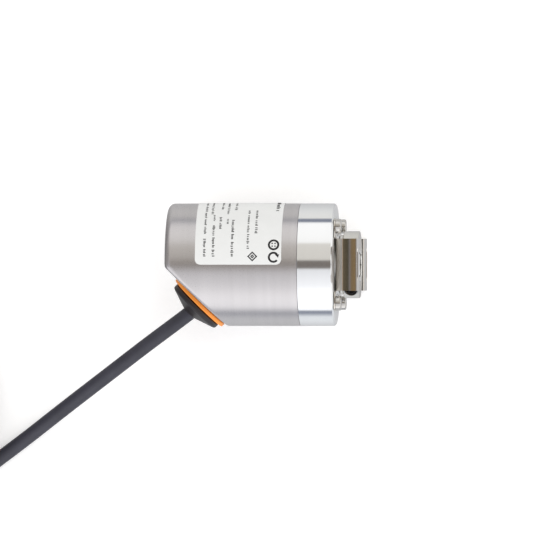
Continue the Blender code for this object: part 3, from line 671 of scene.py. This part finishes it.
def rod(start, end, radius, sides=48):
    """A cylinder or prism to cut with."""
    bm = bmesh.new()
    start, end = Vector(start), Vector(end)
    along = end - start
    turn = along.to_track_quat("Z", "Y").to_matrix().to_4x4()
    bmesh.ops.create_cone(bm, cap_ends=True, segments=sides, radius1=radius, radius2=radius,
                          depth=along.length, matrix=Matrix.Translation((start + end) / 2) @ turn)
    return bm


def carve(piece, cutters, edge=0.0):
    """Cut the cutters' shapes out of the piece, and break its sharp edges by edge."""
    piece.modifiers.clear()
    shapes = []
    for cutter in cutters:
        mesh = bpy.data.meshes.new("cutter")
        cutter.to_mesh(mesh)
        cutter.free()
        shape = add_object("cutter", mesh)
        shape.matrix_world = piece.matrix_world
        step = piece.modifiers.new("cut", "BOOLEAN")
        step.operation = "DIFFERENCE"
        step.solver = "EXACT"
        step.object = shape
        shapes.append(shape)
    if edge:
        step = piece.modifiers.new("edge", "BEVEL")
        step.width = edge
        step.segments = 2
        step.limit_method = "ANGLE"
        step.angle_limit = math.radians(40.0)
    bpy.context.view_layer.update()
    evaluated = piece.evaluated_get(bpy.context.evaluated_depsgraph_get())
    mesh = bpy.data.meshes.new_from_object(evaluated)
    piece.modifiers.clear()
    piece.data = mesh
    for shape in shapes:
        bpy.data.objects.remove(shape, do_unlink=True)
    smooth(piece)


def loft(bm, loops, closed=False):
    """Join equal loops of points with quads; the two ends are capped, or joined if it is closed."""
    rows = [[bm.verts.new(p) for p in loop] for loop in loops]
    skin_over(bm, rows, closed)
    if not closed:
        bm.faces.new(rows[0])
        bm.faces.new(rows[-1])


# ---- housing, flange and label


def onto_turned(points, inset):
    """The nearest points of the turned housing, drawn in by inset, with its filleted rear edge."""
    radius = np.hypot(points[:, 1], points[:, 2])
    core_x = np.maximum(points[:, 0], -BODY_LENGTH + REAR_FILLET)
    core_r = np.minimum(radius, BODY_RADIUS - REAR_FILLET)
    out_x, out_r = points[:, 0] - core_x, radius - core_r
    out = np.hypot(out_x, out_r)
    share = np.minimum(1.0, (REAR_FILLET - inset) / np.maximum(out, 1e-12))
    scale = (core_r + out_r * share) / np.maximum(radius, 1e-12)
    return np.column_stack([core_x + out_x * share, points[:, 1] * scale, points[:, 2] * scale])


def onto_facet(points, inset):
    """The nearest points on the inner side of the slanted facet, drawn in by inset."""
    outward = np.array([-math.sin(SLOPE), -math.cos(SLOPE), 0.0])
    level = outward @ np.array([-BODY_LENGTH, -FACET_DROP, 0.0]) - inset
    over = np.maximum(points @ outward - level, 0.0)
    return points - over[:, None] * outward


def onto_housing(points):
    """The nearest points of the turned and slanted housing, whose edges are rounded."""
    near = points.copy()
    first, second = np.zeros_like(points), np.zeros_like(points)
    rounds = 60
    for _ in range(rounds):  # Dykstra's projection onto both shapes in turn
        body = onto_turned(near + first, FACET_ROUNDING)
        first = near + first - body
        flat = onto_facet(body + second, FACET_ROUNDING)
        second = body + second - flat
        near = flat
    away = points - near
    length = np.linalg.norm(away, axis=1, keepdims=True)
    return near + away / np.maximum(length, 1e-12) * FACET_ROUNDING


def spaced(start, end, step):
    """Evenly spaced numbers from start to end, about step apart."""
    count = max(1, round(abs(end - start) / step))
    return [start + (end - start) * i / count for i in range(count + 1)]


def rear_housing():
    """The turned cup, with its rows of points close together where the facet and fillet bend them."""
    front = -FLANGE_LENGTH - SEAM / 2
    rim = 0.12 * MM
    facet_front = -31.0 * MM
    coarse, fine = 1.2 * MM, 0.15 * MM
    fillet_start = -BODY_LENGTH + REAR_FILLET
    bore, floor_x = BODY_RADIUS - WALL, -BODY_LENGTH + WALL
    outline = [(floor_x, r) for r in spaced(0.0, bore, MM)]
    outline += [(x, bore) for x in spaced(floor_x, front, MM)[1:-1]]
    outline += rounded([(front, bore, 0), (front, BODY_RADIUS, rim), (front - 2 * rim, BODY_RADIUS, 0)])
    outline += [(x, BODY_RADIUS) for x in spaced(front - 3 * rim, facet_front, coarse)]
    outline += [(x, BODY_RADIUS) for x in spaced(facet_front - fine, fillet_start, fine)[:-1]]
    outline += arc((fillet_start, BODY_RADIUS - REAR_FILLET), REAR_FILLET, 90, 180, 14)
    outline += [(-BODY_LENGTH, r) for r in spaced(BODY_RADIUS - REAR_FILLET, 0.0, 0.5 * MM)[1:]]
    bm = lathe(outline, 256)
    inside, outside = [], []
    for vert in bm.verts:
        if vert.co.x > floor_x - WALL / 2 and vert.co.yz.length < bore + WALL / 2:
            inside.append(vert)
        elif vert.co.x < facet_front + 0.5 * MM:
            outside.append(vert)
    moved = [*onto_housing(np.array([v.co for v in outside], float)),
             *onto_facet(np.array([v.co for v in inside], float), FACET_WALL)]
    for vert, place in zip(outside + inside, moved):
        vert.co = place
    finish("housing_shell", bm, housing_steel(), "steel_housing", ["rear_housing"])


def front_flange():
    """The flange with its chamfer and boss, and the spigot behind it that carries the bearings."""
    lip = 7.55 * MM
    seat = -1.8 * MM
    spigot_end = -17.5 * MM
    bearing_seat = 9.65 * MM
    chamfer = 0.5 * MM
    shoulder = -FLANGE_LENGTH + SEAM / 2
    turned("flange_body", [
        (seat, lip, 0),
        (BOSS_HEIGHT, lip, 0.2 * MM),
        (BOSS_HEIGHT, BOSS_RADIUS, 0.25 * MM),
        (0.0, BOSS_RADIUS, 0.1 * MM),
        (0.0, BODY_RADIUS - chamfer, 0.12 * MM),
        (-chamfer, BODY_RADIUS, 0.15 * MM),
        (shoulder, BODY_RADIUS, 0.12 * MM),
        (shoulder, SPIGOT_RADIUS, 0),
        (spigot_end, SPIGOT_RADIUS, 0.3 * MM),
        (spigot_end, bearing_seat, 0),
        (seat, bearing_seat, 0),
    ], flange_aluminium(), "bright_aluminium", ["front_flange"], segments=192, closed=True)


def on_label(x, along, radius):
    """A point on the label's cylinder; along is the arc length from the top line towards +Y."""
    angle = along / LABEL_RADIUS
    return (x, radius * math.sin(angle), radius * math.cos(angle))


def type_label():
    """A sheet of film wrapped over the housing: two skins with rounded corners, joined at their rims."""
    length = LABEL_WRAP * LABEL_RADIUS
    steps = 8
    corner = [LABEL_CORNER * (1 - math.cos(math.pi / 2 * i / steps)) for i in range(steps + 1)]
    middle = spaced(LABEL_CORNER, length - LABEL_CORNER, 0.8 * MM)[1:-1]
    rows = corner + middle + [length - s for s in reversed(corner)]
    columns = spaced(0.0, 1.0, 1 / 24)
    bm = bmesh.new()
    skins = []
    for radius in (LABEL_RADIUS - LABEL_THICKNESS, LABEL_RADIUS):
        skin = []
        for along in rows:
            into = max(0.0, LABEL_CORNER - min(along, length - along))
            trim = LABEL_CORNER - math.sqrt(max(0.0, LABEL_CORNER ** 2 - into ** 2))
            rear, front = LABEL_REAR + trim, LABEL_FRONT - trim
            points = [on_label(rear + (front - rear) * c, along, radius) for c in columns]
            skin.append([bm.verts.new(point) for point in points])
        skins.append(skin)
        skin_over(bm, skin, around=False)
    lower, upper = skins
    for end in (0, -1):
        skin_over(bm, [lower[end], upper[end]], around=False)
        skin_over(bm, [[row[end] for row in skin] for skin in skins], around=False)
    finish("label_film", bm, label_film(), "label", ["type_label"])


def ink(bm, sections, closed=False):
    """A raised printed stroke; its sections are pairs of (x, along) points on its two edges."""
    low, top = LABEL_RADIUS + 0.004 * MM, LABEL_RADIUS + 0.02 * MM
    corners = [[(*near, low), (*far, low), (*far, top), (*near, top)] for near, far in sections]
    loft(bm, [[on_label(*corner) for corner in section] for section in corners], closed)


def ink_bar(bm, x, start, end, height):
    ink(bm, [((x, start), (x + height, start)), ((x, end), (x + height, end))])


def ink_ring(bm, centre, radius, stroke, start=0.0, end=360.0, steps=36):
    """A printed ring or part of one."""
    inner = arc(centre, radius - stroke / 2, start, end, steps)
    outer = arc(centre, radius + stroke / 2, start, end, steps)
    whole = end - start == 360.0
    ink(bm, list(zip(inner, outer))[:steps if whole else None], closed=whole)


def greeked_line(bm, x, start, end, height):
    """Marks that only look like small type from afar: upright ticks in runs as long as words."""
    stroke = 0.34 * height
    pitch, word_gap = stroke + 0.15 * MM, 0.55 * MM
    descenders, ascenders, narrow = 0.12, 0.35, 0.6  # how often each comes up
    at = end
    while at > start:
        for _ in range(RIPPLE.randint(4, 9)):
            if at - stroke < start:
                return
            low = 0.0 if RIPPLE.random() < descenders else 0.14
            tall = 1.0 if RIPPLE.random() < ascenders else 0.76
            ink_bar(bm, x + height * low, at - stroke, at, height * (tall - low))
            at -= pitch * (1.0 if RIPPLE.random() < narrow else 1.5)
        at -= word_gap


# Lines of greeked type, in mm: place along the shaft, start and end round the housing, and height
LABEL_LINES = [
    (-38.45, 1.3, 7.9, 0.80),
    (-38.35, 9.5, 26.0, 0.75),
    (-36.55, 17.5, 26.5, 0.80),
    (-35.85, 2.4, 12.6, 0.85),
    (-35.75, 14.2, 17.0, 0.70),
    (-33.95, 11.2, 16.0, 0.80),
    (-33.65, 20.0, 27.0, 0.75),
    (-31.75, 13.2, 15.2, 0.80),
    (-31.85, 17.5, 26.0, 0.80),
    (-30.25, 1.8, 14.8, 0.90),
    (-29.65, 19.5, 26.0, 0.85),
    (-25.55, 4.6, 19.5, 0.80),
    (-23.25, 9.4, 19.5, 0.85),
    (-17.45, 19.0, 28.5, 1.3),
]


def label_print():
    """The label's printing, greeked, with plain pictograms: a diamond, a socket and a turning arrow."""
    bm = bmesh.new()
    for x, start, end, height in LABEL_LINES:
        greeked_line(bm, x * MM, start * MM, end * MM, height * MM)
    row = -17.45 * MM
    diamond = (-23.75 * MM, 2.45 * MM)
    ink_ring(bm, diamond, 1.25 * MM, 0.5 * MM, steps=4)
    ink_ring(bm, diamond, 0.4 * MM, 0.42 * MM, steps=4)
    socket = (row, 6.0 * MM)
    ink_ring(bm, socket, 1.4 * MM, 0.6 * MM)
    for pin in arc(socket, 0.6 * MM, 45, 315, 3):
        ink_ring(bm, pin, 0.12 * MM, 0.23 * MM, steps=10)
    turning, reach = (row, 2.2 * MM), 1.35 * MM
    ink_ring(bm, turning, reach, 0.6 * MM, 40, 320)
    x, along = arc(turning, reach, 40, 40, 1)[0]
    barb, point = 0.65 * MM, 0.02 * MM
    tip_x, tip_along = x + barb / 2, along - 1.5 * barb
    ink(bm, [((x - barb, along), (x + barb, along)),
             ((tip_x - point, tip_along), (tip_x + point, tip_along))])
    finish("label_print", bm, print_ink(), "label")


# ---- shaft, clamp ring and coupling


def hollow_shaft(steel):
    """The blind hollow shaft: a shoulder for its bearing, a collar at the boss and clamping slits."""
    rear = -21.6 * MM
    shoulder_rear, shoulder_radius = -1.85 * MM, 6.0 * MM
    collar_rear, collar_front = 1.3 * MM, 2.15 * MM
    edge = 0.15 * MM
    shaft = turned("shaft_tube", [
        (rear, 0.0, 0),
        (rear, SHAFT_RADIUS, 0.2 * MM),
        (shoulder_rear, SHAFT_RADIUS, 0),
        (shoulder_rear, shoulder_radius, edge),
        (collar_rear, shoulder_radius, 0),
        (collar_rear, BOSS_RADIUS, edge),
        (collar_front, BOSS_RADIUS, edge),
        (collar_front, SHAFT_RADIUS, 0.1 * MM),
        (SHAFT_FRONT, SHAFT_RADIUS, 0.25 * MM),
        (SHAFT_FRONT, BORE_RADIUS, 0.3 * MM),
        (BORE_END, BORE_RADIUS, 0.2 * MM),
        (BORE_END - 1.2 * MM, 0.0, 0),
    ], steel, "screw_steel", ["hollow_shaft"], segments=96, body="rotor")
    slit_middle, slit_size = (6.7 * MM, 0.0, 0.0), (8 * MM, 14 * MM, 0.8 * MM)
    slits = [box(slit_middle, slit_size, turn) for turn in (45.0, 135.0)]
    carve(shaft, slits, edge=0.06 * MM)


def clamp_ring():
    """The ring that squeezes the shaft: slit at one side, with its screw's counterbored hole across."""
    inner = SHAFT_RADIUS + FIT
    edge = 0.3 * MM
    ring = turned("clamp_collar", [
        (RING_REAR, inner, 0.1 * MM),
        (RING_REAR, RING_RADIUS, edge),
        (RING_FRONT, RING_RADIUS, edge),
        (RING_FRONT, inner, 0.15 * MM),
    ], ring_steel(), "ring_steel", ["clamp_ring"], segments=160, closed=True, body="rotor")
    middle, side, beyond = (RING_REAR + RING_FRONT) / 2, -CLAMP_SCREW_OFFSET, 12 * MM
    slit_width, hole_radius = 1.0 * MM, 1.4 * MM
    slit = box((middle, -8 * MM, 0.0), (8 * MM, 7 * MM, slit_width))
    hole = rod((middle, side, -beyond), (middle, side, COUNTERBORE_FLOOR + MM / 2), hole_radius)
    counterbore = rod((middle, side, COUNTERBORE_FLOOR), (middle, side, beyond), COUNTERBORE_RADIUS)
    carve(ring, [slit, counterbore, hole], edge=0.08 * MM)


def clamp_screw():
    """A socket-head cap screw across the ring's slit; its knurled head sits in the counterbore."""
    middle = (RING_REAR + RING_FRONT) / 2
    place = SHAFT_FRAME @ Matrix.Translation((middle, -CLAMP_SCREW_OFFSET, 0.0)) @ UPRIGHT
    seat = COUNTERBORE_FLOOR + FIT
    head = seat + CLAMP_HEAD_HEIGHT
    radius = CLAMP_HEAD_RADIUS
    shank = 1.2 * MM
    smooth_end = 0.35 * MM
    teeth = 40

    def knurled(x, reach, angle):
        on_side = seat + 0.3 * MM < x < head - 0.3 * MM and reach > radius * 0.95
        return reach - 0.05 * MM * (on_side and math.cos(teeth * angle) < 0)

    screw = turned("clamp_cap_screw", [
        (CLAMP_SCREW_END, 0.0, 0),
        (CLAMP_SCREW_END, shank, 0.2 * MM),
        (seat, shank, 0),
        (seat, radius, 0.15 * MM),
        (seat + smooth_end, radius, 0),
        (head - smooth_end, radius, 0),
        (head, radius, 0.25 * MM),
        (head, 0.0, 0),
    ], black_oxide(), "black_oxide", ["clamp_screw"], segments=4 * teeth, shape=knurled,
        place=place, body="rotor")
    key_across, key_depth = 2.0 * MM, 1.1 * MM
    socket = rod((head - key_depth, 0.0, 0.0), (head + MM, 0.0, 0.0), key_across / math.sqrt(3.0), sides=6)
    carve(screw, [socket])


def coupling_skins():
    """The bent strip from the flange to the ear's tip, in (x, z): its two faces."""
    root = (FIT + ROOT_BEND, LEG_OFFSET - ROOT_BEND)
    bend = (EAR_FACE - EAR_BEND, LEG_OFFSET - SHEET + EAR_BEND)
    run = bend[0] - root[0]
    steps = 12
    crown = 0.06 * MM  # the strip's leg isn't quite flat
    leg = [(root[0] + run * i / steps, crown * math.sin(math.pi * i / steps)) for i in range(1, steps)]
    tip = 0.08 * MM
    near = [*arc(root, ROOT_BEND, 180, 90, 14),
            *[(x, LEG_OFFSET + lift) for x, lift in leg],
            *arc(bend, EAR_BEND - SHEET, 270, 360, 8),
            (EAR_FACE - SHEET, EAR_REACH - tip), (EAR_FACE - SHEET + tip, EAR_REACH)]
    far = [(EAR_FACE - tip, EAR_REACH), (EAR_FACE, EAR_REACH - tip),
           *arc(bend, EAR_BEND, 360, 270, 8),
           *[(x, LEG_OFFSET - SHEET + lift) for x, lift in reversed(leg)],
           *arc(root, ROOT_BEND - SHEET, 90, 180, 14)]
    return near, far


def boss_cutter(clearance):
    """The room that the flange's boss needs in the coupling's sheet."""
    reach = 2 * MM
    return rod((-reach, 0.0, 0.0), (reach, 0.0, 0.0), BOSS_RADIUS + clearance, sides=96)


def ear_slot(side):
    """The long slot through an ear, to cut with."""
    straight = SLOT_HALF_LENGTH - SLOT_RADIUS
    middle = side * SLOT_OFFSET
    corners = [p for centre, start in ((straight, -90), (-straight, 90))
               for p in arc((centre, middle), SLOT_RADIUS, start, start + 180, 20)]
    slot = bmesh.new()
    loft(slot, [[(x, y, z) for y, z in corners] for x in (EAR_FACE - MM, EAR_FACE + MM)])
    bmesh.ops.recalc_face_normals(slot, faces=slot.faces)
    return slot


def stator_coupling():
    """One bent strip with two legs and two slotted ears, and a flat wing at each side of it."""
    near, far = coupling_skins()
    half = near + far
    outline = half + [(x, -z) for x, z in reversed(half)]
    bm = bmesh.new()
    loft(bm, [[(x, y, z) for x, z in outline] for y in (-LEG_HALF_WIDTH, LEG_HALF_WIDTH)])
    sheet = sheet_steel()
    strip = finish("coupling_strip", bm, sheet, "spring_steel", ["stator_coupling"])
    carve(strip, [boss_cutter(0.1 * MM), ear_slot(1), ear_slot(-1)], edge=0.07 * MM)
    for name, side in (("left", 1), ("right", -1)):
        bm = bmesh.new()
        outline = lug_outline(side)
        loft(bm, [[(x, y, z) for y, z in outline] for x in (FIT, FIT + SHEET)])
        lug = finish(f"coupling_lug_{name}", bm, sheet, "spring_steel")
        carve(lug, [boss_cutter(GAP)], edge=0.06 * MM)


def lug_outline(side):
    """A wing of sheet on the flange's face, with a round tab for each of its two screws, in (y, z)."""
    neck, relief, top = LEG_HALF_WIDTH + 0.02 * MM, LEG_HALF_WIDTH + GAP, SCREW_RISE + TAB_RADIUS
    neck_half_height = 7.9 * MM
    lower = arc((SCREW_SIDE, -SCREW_RISE), TAB_RADIUS, -90, 0, 12)
    upper = arc((SCREW_SIDE, SCREW_RISE), TAB_RADIUS, 0, 90, 12)
    outline = [(neck, -neck_half_height), (relief, -neck_half_height), (relief, -top), *lower,
               *upper, (relief, top), (relief, neck_half_height), (neck, neck_half_height)]
    return [(side * y, z) for y, z in outline]


def coupling_fasteners():
    """Four pan-head screws with cross recesses, two beside each leg."""
    steel = screw_steel()
    head_rear = FIT + SHEET + 0.03 * MM
    head_front = head_rear + FIT + SCREW_HEAD_HEIGHT
    end, shank = -5 * MM, 1.1 * MM
    cross_arm = (1.4 * MM, 2.3 * MM, 0.5 * MM)
    turns = (20.0, 65.0, 50.0, 5.0)  # where each screw came to a stop
    places = [(y * SCREW_SIDE, z * SCREW_RISE) for y in (1, -1) for z in (1, -1)]
    for number, ((y, z), turn) in enumerate(zip(places, turns), start=1):
        screw = turned(f"pan_screw_{number}", [
            (end, 0.0, 0),
            (end, shank, 0.2 * MM),
            (head_rear, shank, 0),
            (head_rear, SCREW_HEAD_RADIUS, 0.12 * MM),
            (head_front, SCREW_HEAD_RADIUS, 0.5 * MM),
            (head_front, 0.0, 0),
        ], steel, "screw_steel", [f"coupling_screw_{number}"], segments=96,
            place=SHAFT_FRAME @ Matrix.Translation((0.0, y, z)))
        arms = [box((head_front, 0.0, 0.0), cross_arm, angle) for angle in (turn, turn + 90.0)]
        carve(screw, arms, edge=0.03 * MM)


# ---- gland, cable, coil and plug


def gland():
    """The orange ring on the facet, and the black boot on it that the cable leaves from."""
    bore, ring_rear, ring_front = STEM_RADIUS + 0.4 * MM, 0.2 * MM, 1.5 * MM
    turned("gland_seal", [
        (ring_rear, bore, 0),
        (ring_rear, GLAND_RADIUS, 0.45 * MM),
        (ring_front, GLAND_RADIUS, 0.25 * MM),
        (ring_front, bore, 0),
    ], orange_elastomer(), "orange_plastic", ["gland_ring"], segments=160, closed=True, place=GLAND_FRAME)
    stem_end, base, rim = -3.4 * MM, 1.75 * MM, 3.3 * MM
    mouth_depth = 1.0 * MM
    turned("cable_boot", [
        (stem_end, 0.0, 0),
        (stem_end, STEM_RADIUS, 0.3 * MM),
        (base, STEM_RADIUS, 0),
        (base, RELIEF_RADIUS, 0.35 * MM),
        (rim, RELIEF_RADIUS, 0.75 * MM),
        (RELIEF_HEIGHT, CABLE_RADIUS + 0.08 * MM, 0.25 * MM),
        (RELIEF_HEIGHT, CABLE_RADIUS * 0.9, 0),
        (RELIEF_HEIGHT - mouth_depth, CABLE_RADIUS * 0.8, 0),
        (RELIEF_HEIGHT - mouth_depth, 0.0, 0),
    ], boot_plastic(), "black_plastic", ["strain_relief"], segments=160, place=GLAND_FRAME)


def smooth_route(points, spacing, before=None, after=None):
    """Points about a spacing apart on a Catmull-Rom curve, which can join on to a point at either end."""
    before = before or 2 * points[0] - points[1]
    after = after or 2 * points[-1] - points[-2]
    ends = [before, *points, after]
    route = []
    for a, b, c, d in zip(ends, ends[1:], ends[2:], ends[3:]):
        steps = max(1, round((c - b).length / spacing))
        for i in range(steps):
            t = i / steps
            route.append(0.5 * (2 * b + (c - a) * t + (2 * a - 5 * b + 4 * c - d) * t ** 2
                                + (3 * b - a - 3 * c + d) * t ** 3))
    return [*route, points[-1]]


def coil_route():
    """The coiled part of the centreline: flat spirals in and out, one layer on another, clockwise."""
    per_turn = 48
    in_layer = (COIL_TURNS - (COIL_LAYERS - 1) * COIL_RISE) / COIL_LAYERS
    step_up = 2 * CABLE_RADIUS
    route = []
    for i in range(round(COIL_TURNS * per_turn) + 1):
        turned_by = min(i / per_turn, COIL_TURNS)
        layer, within = divmod(turned_by, in_layer + COIL_RISE)
        rising = max(0.0, within - in_layer) / COIL_RISE
        share = min(within / in_layer, 1.0)
        if layer % 2:
            share = 1.0 - share
        radius = COIL_OUTER + (COIL_INNER - COIL_OUTER) * share
        climb = rising * rising * (3 - 2 * rising)
        angle = COIL_START - math.tau * turned_by
        height = COIL_BASE + CABLE_RADIUS + (layer + climb) * step_up
        route.append(COIL_CENTRE + Vector((radius * math.cos(angle), radius * math.sin(angle), height)))
    return route


def cable():
    """The whole cable as one line; returns it with its length."""
    coil = coil_route()
    step = 2.5 * MM
    lead = smooth_route([*(Vector(p) * MM for p in CABLE_ROUTE), coil[0]], step, after=coil[1])
    tail = smooth_route([coil[-1], *(Vector(p) * MM for p in TAIL_ROUTE)], step, before=coil[-2])
    route = lead[:-1] + coil + tail[1:]
    curve = bpy.data.curves.new("cable_line", "CURVE")
    curve.dimensions = "3D"
    curve.bevel_depth = CABLE_RADIUS
    curve.bevel_resolution = 6
    curve.use_fill_caps = True
    spline = curve.splines.new("POLY")
    spline.points.add(len(route) - 1)
    for point, place in zip(spline.points, route):
        point.co = (*place, 1.0)
    spline.use_smooth = True
    curve.materials.append(cable_jacket())
    line = add_object("cable_line", curve)
    settle(line, "stator", ["cable", "cable_coil", "cable_tail"])
    length = sum((b - a).length for a, b in zip(route, route[1:]))
    return line, length


def coil_ties():
    """Two woven straps round the coil's turns."""
    weave = strap_weave()
    low = (COIL_INNER - CABLE_RADIUS - FIT, COIL_BASE - FIT)
    high = (COIL_OUTER + CABLE_RADIUS + FIT, COIL_BASE + COIL_LAYERS * 2 * CABLE_RADIUS + FIT)
    inner_bend = 2.0 * MM
    half, edge = TIE_WIDTH / 2, 0.12 * MM
    loops = []
    for grow in (0.0, TIE_THICKNESS):
        (left, bottom), (right, top) = (low[0] - grow, low[1] - grow), (high[0] + grow, high[1] + grow)
        corners = [(left, bottom), (right, bottom), (right, top), (left, top)]
        bend = inner_bend + grow
        loops.append(rounded([(x, z, bend) for x, z in corners], closed=True, steps=8))
    inner, outer = loops
    section = [(inner, -half), (outer, -half + edge), (outer, half - edge), (inner, half)]
    made = []
    for name, heading in TIE_HEADINGS.items():
        bm = bmesh.new()
        loft(bm, [[(x, y, z) for x, z in loop] for loop, y in section], closed=True)
        place = Matrix.Translation(COIL_CENTRE) @ Matrix.Rotation(math.radians(heading), 4, "Z")
        made.append(finish(f"strap_{name}", bm, weave, "rubber", [f"coil_tie_{name}"], place))
    return made


def plug_grip(black):
    """The moulded grip, which has hollows all round for the fingers."""
    hollows, depth = 16, 0.35 * MM
    shoulder, end, tip = 9 * MM, 23.6 * MM, 29.5 * MM
    first, last, margin = 10.4 * MM, 21.6 * MM, 0.1 * MM  # where the hollows run
    slim, widening = 6.15 * MM, 0.25 * MM / (14 * MM)
    sleeve = 5.2 * MM

    def gripped(x, radius, angle):
        on_grip = first + margin < x < last - margin
        return radius - depth * on_grip * (0.5 + 0.5 * math.cos(hollows * angle)) ** 3

    return turned("plug_grip", [
        (0.0, 0.0, 0),
        (0.0, 2.9 * MM, 0.3 * MM),
        (7 * MM, 3.6 * MM, 2.0 * MM),
        (shoulder, 6.1 * MM, 0.8 * MM),
        *[(x, slim + (x - shoulder) * widening, 0) for x in spaced(first, last, 0.4 * MM)],
        (end, 6.35 * MM, 0.4 * MM),
        (end, sleeve, 0),
        (tip, sleeve, 0.2 * MM),
        (tip, 0.0, 0),
    ], black, "black_plastic", ["plug_body"], segments=192, shape=gripped, place=PLUG_FRAME)


def contact_carrier(black):
    """The round insert that holds the pins, with a key slot along its top."""
    rear, front, radius = 29.8 * MM, 36.5 * MM, 4.2 * MM
    carrier = turned("contact_carrier", [
        (rear, 0.0, 0),
        (rear, radius, 0),
        (front, radius, 0.3 * MM),
        (front, 0.0, 0),
    ], black, "black_plastic", ["plug_insert"], segments=96, place=PLUG_FRAME)
    key_rear, key_front, key_height, key_radius = 33 * MM, 38 * MM, 4.3 * MM, 0.7 * MM
    key = rod((key_rear, 0.0, key_height), (key_front, 0.0, key_height), key_radius, sides=24)
    carve(carrier, [key], edge=0.05 * MM)
    return carrier


def contact_pins():
    """Five round-nosed pins: one in the middle and four about it."""
    rear, front, radius, circle = 34 * MM, 40.5 * MM, 0.5 * MM, 2.5 * MM
    outline = rounded([(rear, 0.0, 0), (rear, radius, 0), (front, radius, 0.4 * MM), (front, 0.0, 0)])
    bm = bmesh.new()
    for y, z in [(0.0, 0.0), *arc((0.0, 0.0), circle, 45, 315, 3)]:
        pin = lathe(outline, 24)
        bmesh.ops.translate(pin, verts=pin.verts, vec=(0.0, y, z))
        mesh = bpy.data.meshes.new("pin")
        pin.to_mesh(mesh)
        pin.free()
        bm.from_mesh(mesh)
    return finish("contact_pins", bm, pin_gold(), "brass", place=PLUG_FRAME)


def knurled_nut(steel):
    """The plug's nut: a straight knurl round its grip, and a thread in front of it."""
    bore, seat, seat_end = 5.0 * MM, 5.35 * MM, 30.0 * MM
    rear, grip_front, front = 23.9 * MM, 31.7 * MM, 41.2 * MM
    flutes, flute_depth = 36, 0.32 * MM
    knurl_rear, knurl_front, runout = 24.6 * MM, 31.1 * MM, 0.1 * MM
    pitch, crest, thread_depth = 1.0 * MM, 6.0 * MM, 0.9 * 0.55 * MM
    thread_rear, thread_front = 32.5 * MM, 40.7 * MM

    def knurl_and_thread(x, radius, angle):
        if knurl_rear < x < knurl_front and radius > seat + MM:
            return radius - flute_depth * (0.5 + 0.5 * math.cos(flutes * angle)) ** 1.5
        if thread_rear + runout < x < thread_front - runout:
            phase = (x / pitch + angle / math.tau) % 1.0
            return crest - thread_depth * (1 - abs(2 * phase - 1))
        return radius

    fluted = [knurl_rear + runout, *spaced(25.2 * MM, 30.6 * MM, 0.6 * MM), knurl_front - runout]
    return turned("knurled_nut", [
        (seat_end, bore, 0),
        (seat_end, seat, 0),
        (rear, seat, 0.1 * MM),
        (rear, NUT_RADIUS, 0.35 * MM),
        *[(x, NUT_RADIUS, 0) for x in (knurl_rear, *fluted, knurl_front)],
        (grip_front, NUT_RADIUS, 0.35 * MM),
        (grip_front + runout, crest - 0.3 * MM, 0),
        *[(x, crest, 0) for x in spaced(thread_rear, thread_front, 0.125 * MM)],
        (front, crest - 0.1 * MM, 0.3 * MM),
        (front, bore, 0.1 * MM),
    ], steel, "screw_steel", ["plug_nut"], segments=216, closed=True, shape=knurl_and_thread,
        place=PLUG_FRAME, body="nut")


def plug(steel):
    """A round field connector: moulded grip, contact carrier, gold pins and a knurled nut."""
    black = plug_plastic()
    return [plug_grip(black), contact_carrier(black), contact_pins(), knurled_nut(steel)]


# ---- pieces that keep their CAD shape


def dress(skins):
    """Give the CAD nodes that stay their procedural materials."""
    for skin, names in skins:
        for name in names:
            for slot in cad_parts[name].material_slots:
                slot.material = skin


def numbered(name, count):
    return [f"{name}_{number}" for number in range(1, count + 1)]


def inner_pieces(steel):
    """The pieces held inside, by what they are made of."""
    centre = (FACE_X, 0.0, AXIS_HEIGHT)
    bearing_steel = turned_metal("bearing_steel", (0.74, 0.75, 0.77), 0.12, 5200.0, 0.8e-6, shift=centre)
    hub_brass = turned_metal("hub_brass", (0.86, 0.68, 0.36), 0.24, shift=centre)
    bearings = [f"{end}_{part}" for end in ("front", "rear")
                for part in ("bearing_inner_ring", "bearing_outer_ring", "ball_set")]
    rings = ["outer_spacer", "inner_spacer", "bearing_retaining_ring", "shaft_retaining_ring"]
    seal_rubber = moulded("seal_rubber", (0.020, 0.020, 0.021), 0.6)
    chip_resin = moulded("chip_resin", (0.025, 0.025, 0.027), 0.45)
    ceramic = moulded("capacitor_ceramic", (0.50, 0.36, 0.24), 0.5)
    nylon = moulded("header_nylon", (0.74, 0.72, 0.66), 0.45)
    sleeving = moulded("wire_sleeving", (0.05, 0.05, 0.055), 0.5)
    dress([
        (seal_rubber, ["shaft_seal", "housing_oring"]),
        (bearing_steel, bearings),
        (steel, rings + numbered("board_screw", 3)),
        (hub_brass, ["disc_hub", "crimp_sleeve"] + numbered("board_standoff", 3)),
        (glass(), ["code_disc", "light_source", "scanning_reticle"]),
        (circuit_laminate(), ["circuit_board"]),
        (chip_resin, ["sensor_chip", "signal_chip", "line_driver_chip"]),
        (ceramic, ["capacitor_a", "capacitor_b"]),
        (nylon, ["wire_header"]),
        (sleeving, ["wire_bundle"]),
    ])


def main():
    camera()
    line, length = cable()
    steel = bright_steel()
    ties = coil_ties()
    plug_pieces = plug(steel)

    rear_housing()
    front_flange()
    type_label()
    label_print()
    hollow_shaft(steel)
    clamp_ring()
    clamp_screw()
    stator_coupling()
    coupling_fasteners()
    gland()
    inner_pieces(steel)

    studio()
    soft_box("key_light", (0.35, 0.25, 0.75), size=0.6, power=2.2)
    soft_box("fill_light", (-0.5, -0.35, 0.7), size=0.8, power=2.2)
    floor()
    scene = bpy.context.scene
    scene.view_settings.view_transform = "Standard"
    scene.view_settings.look = "None"
    scene.cycles.max_bounces = 8


main()
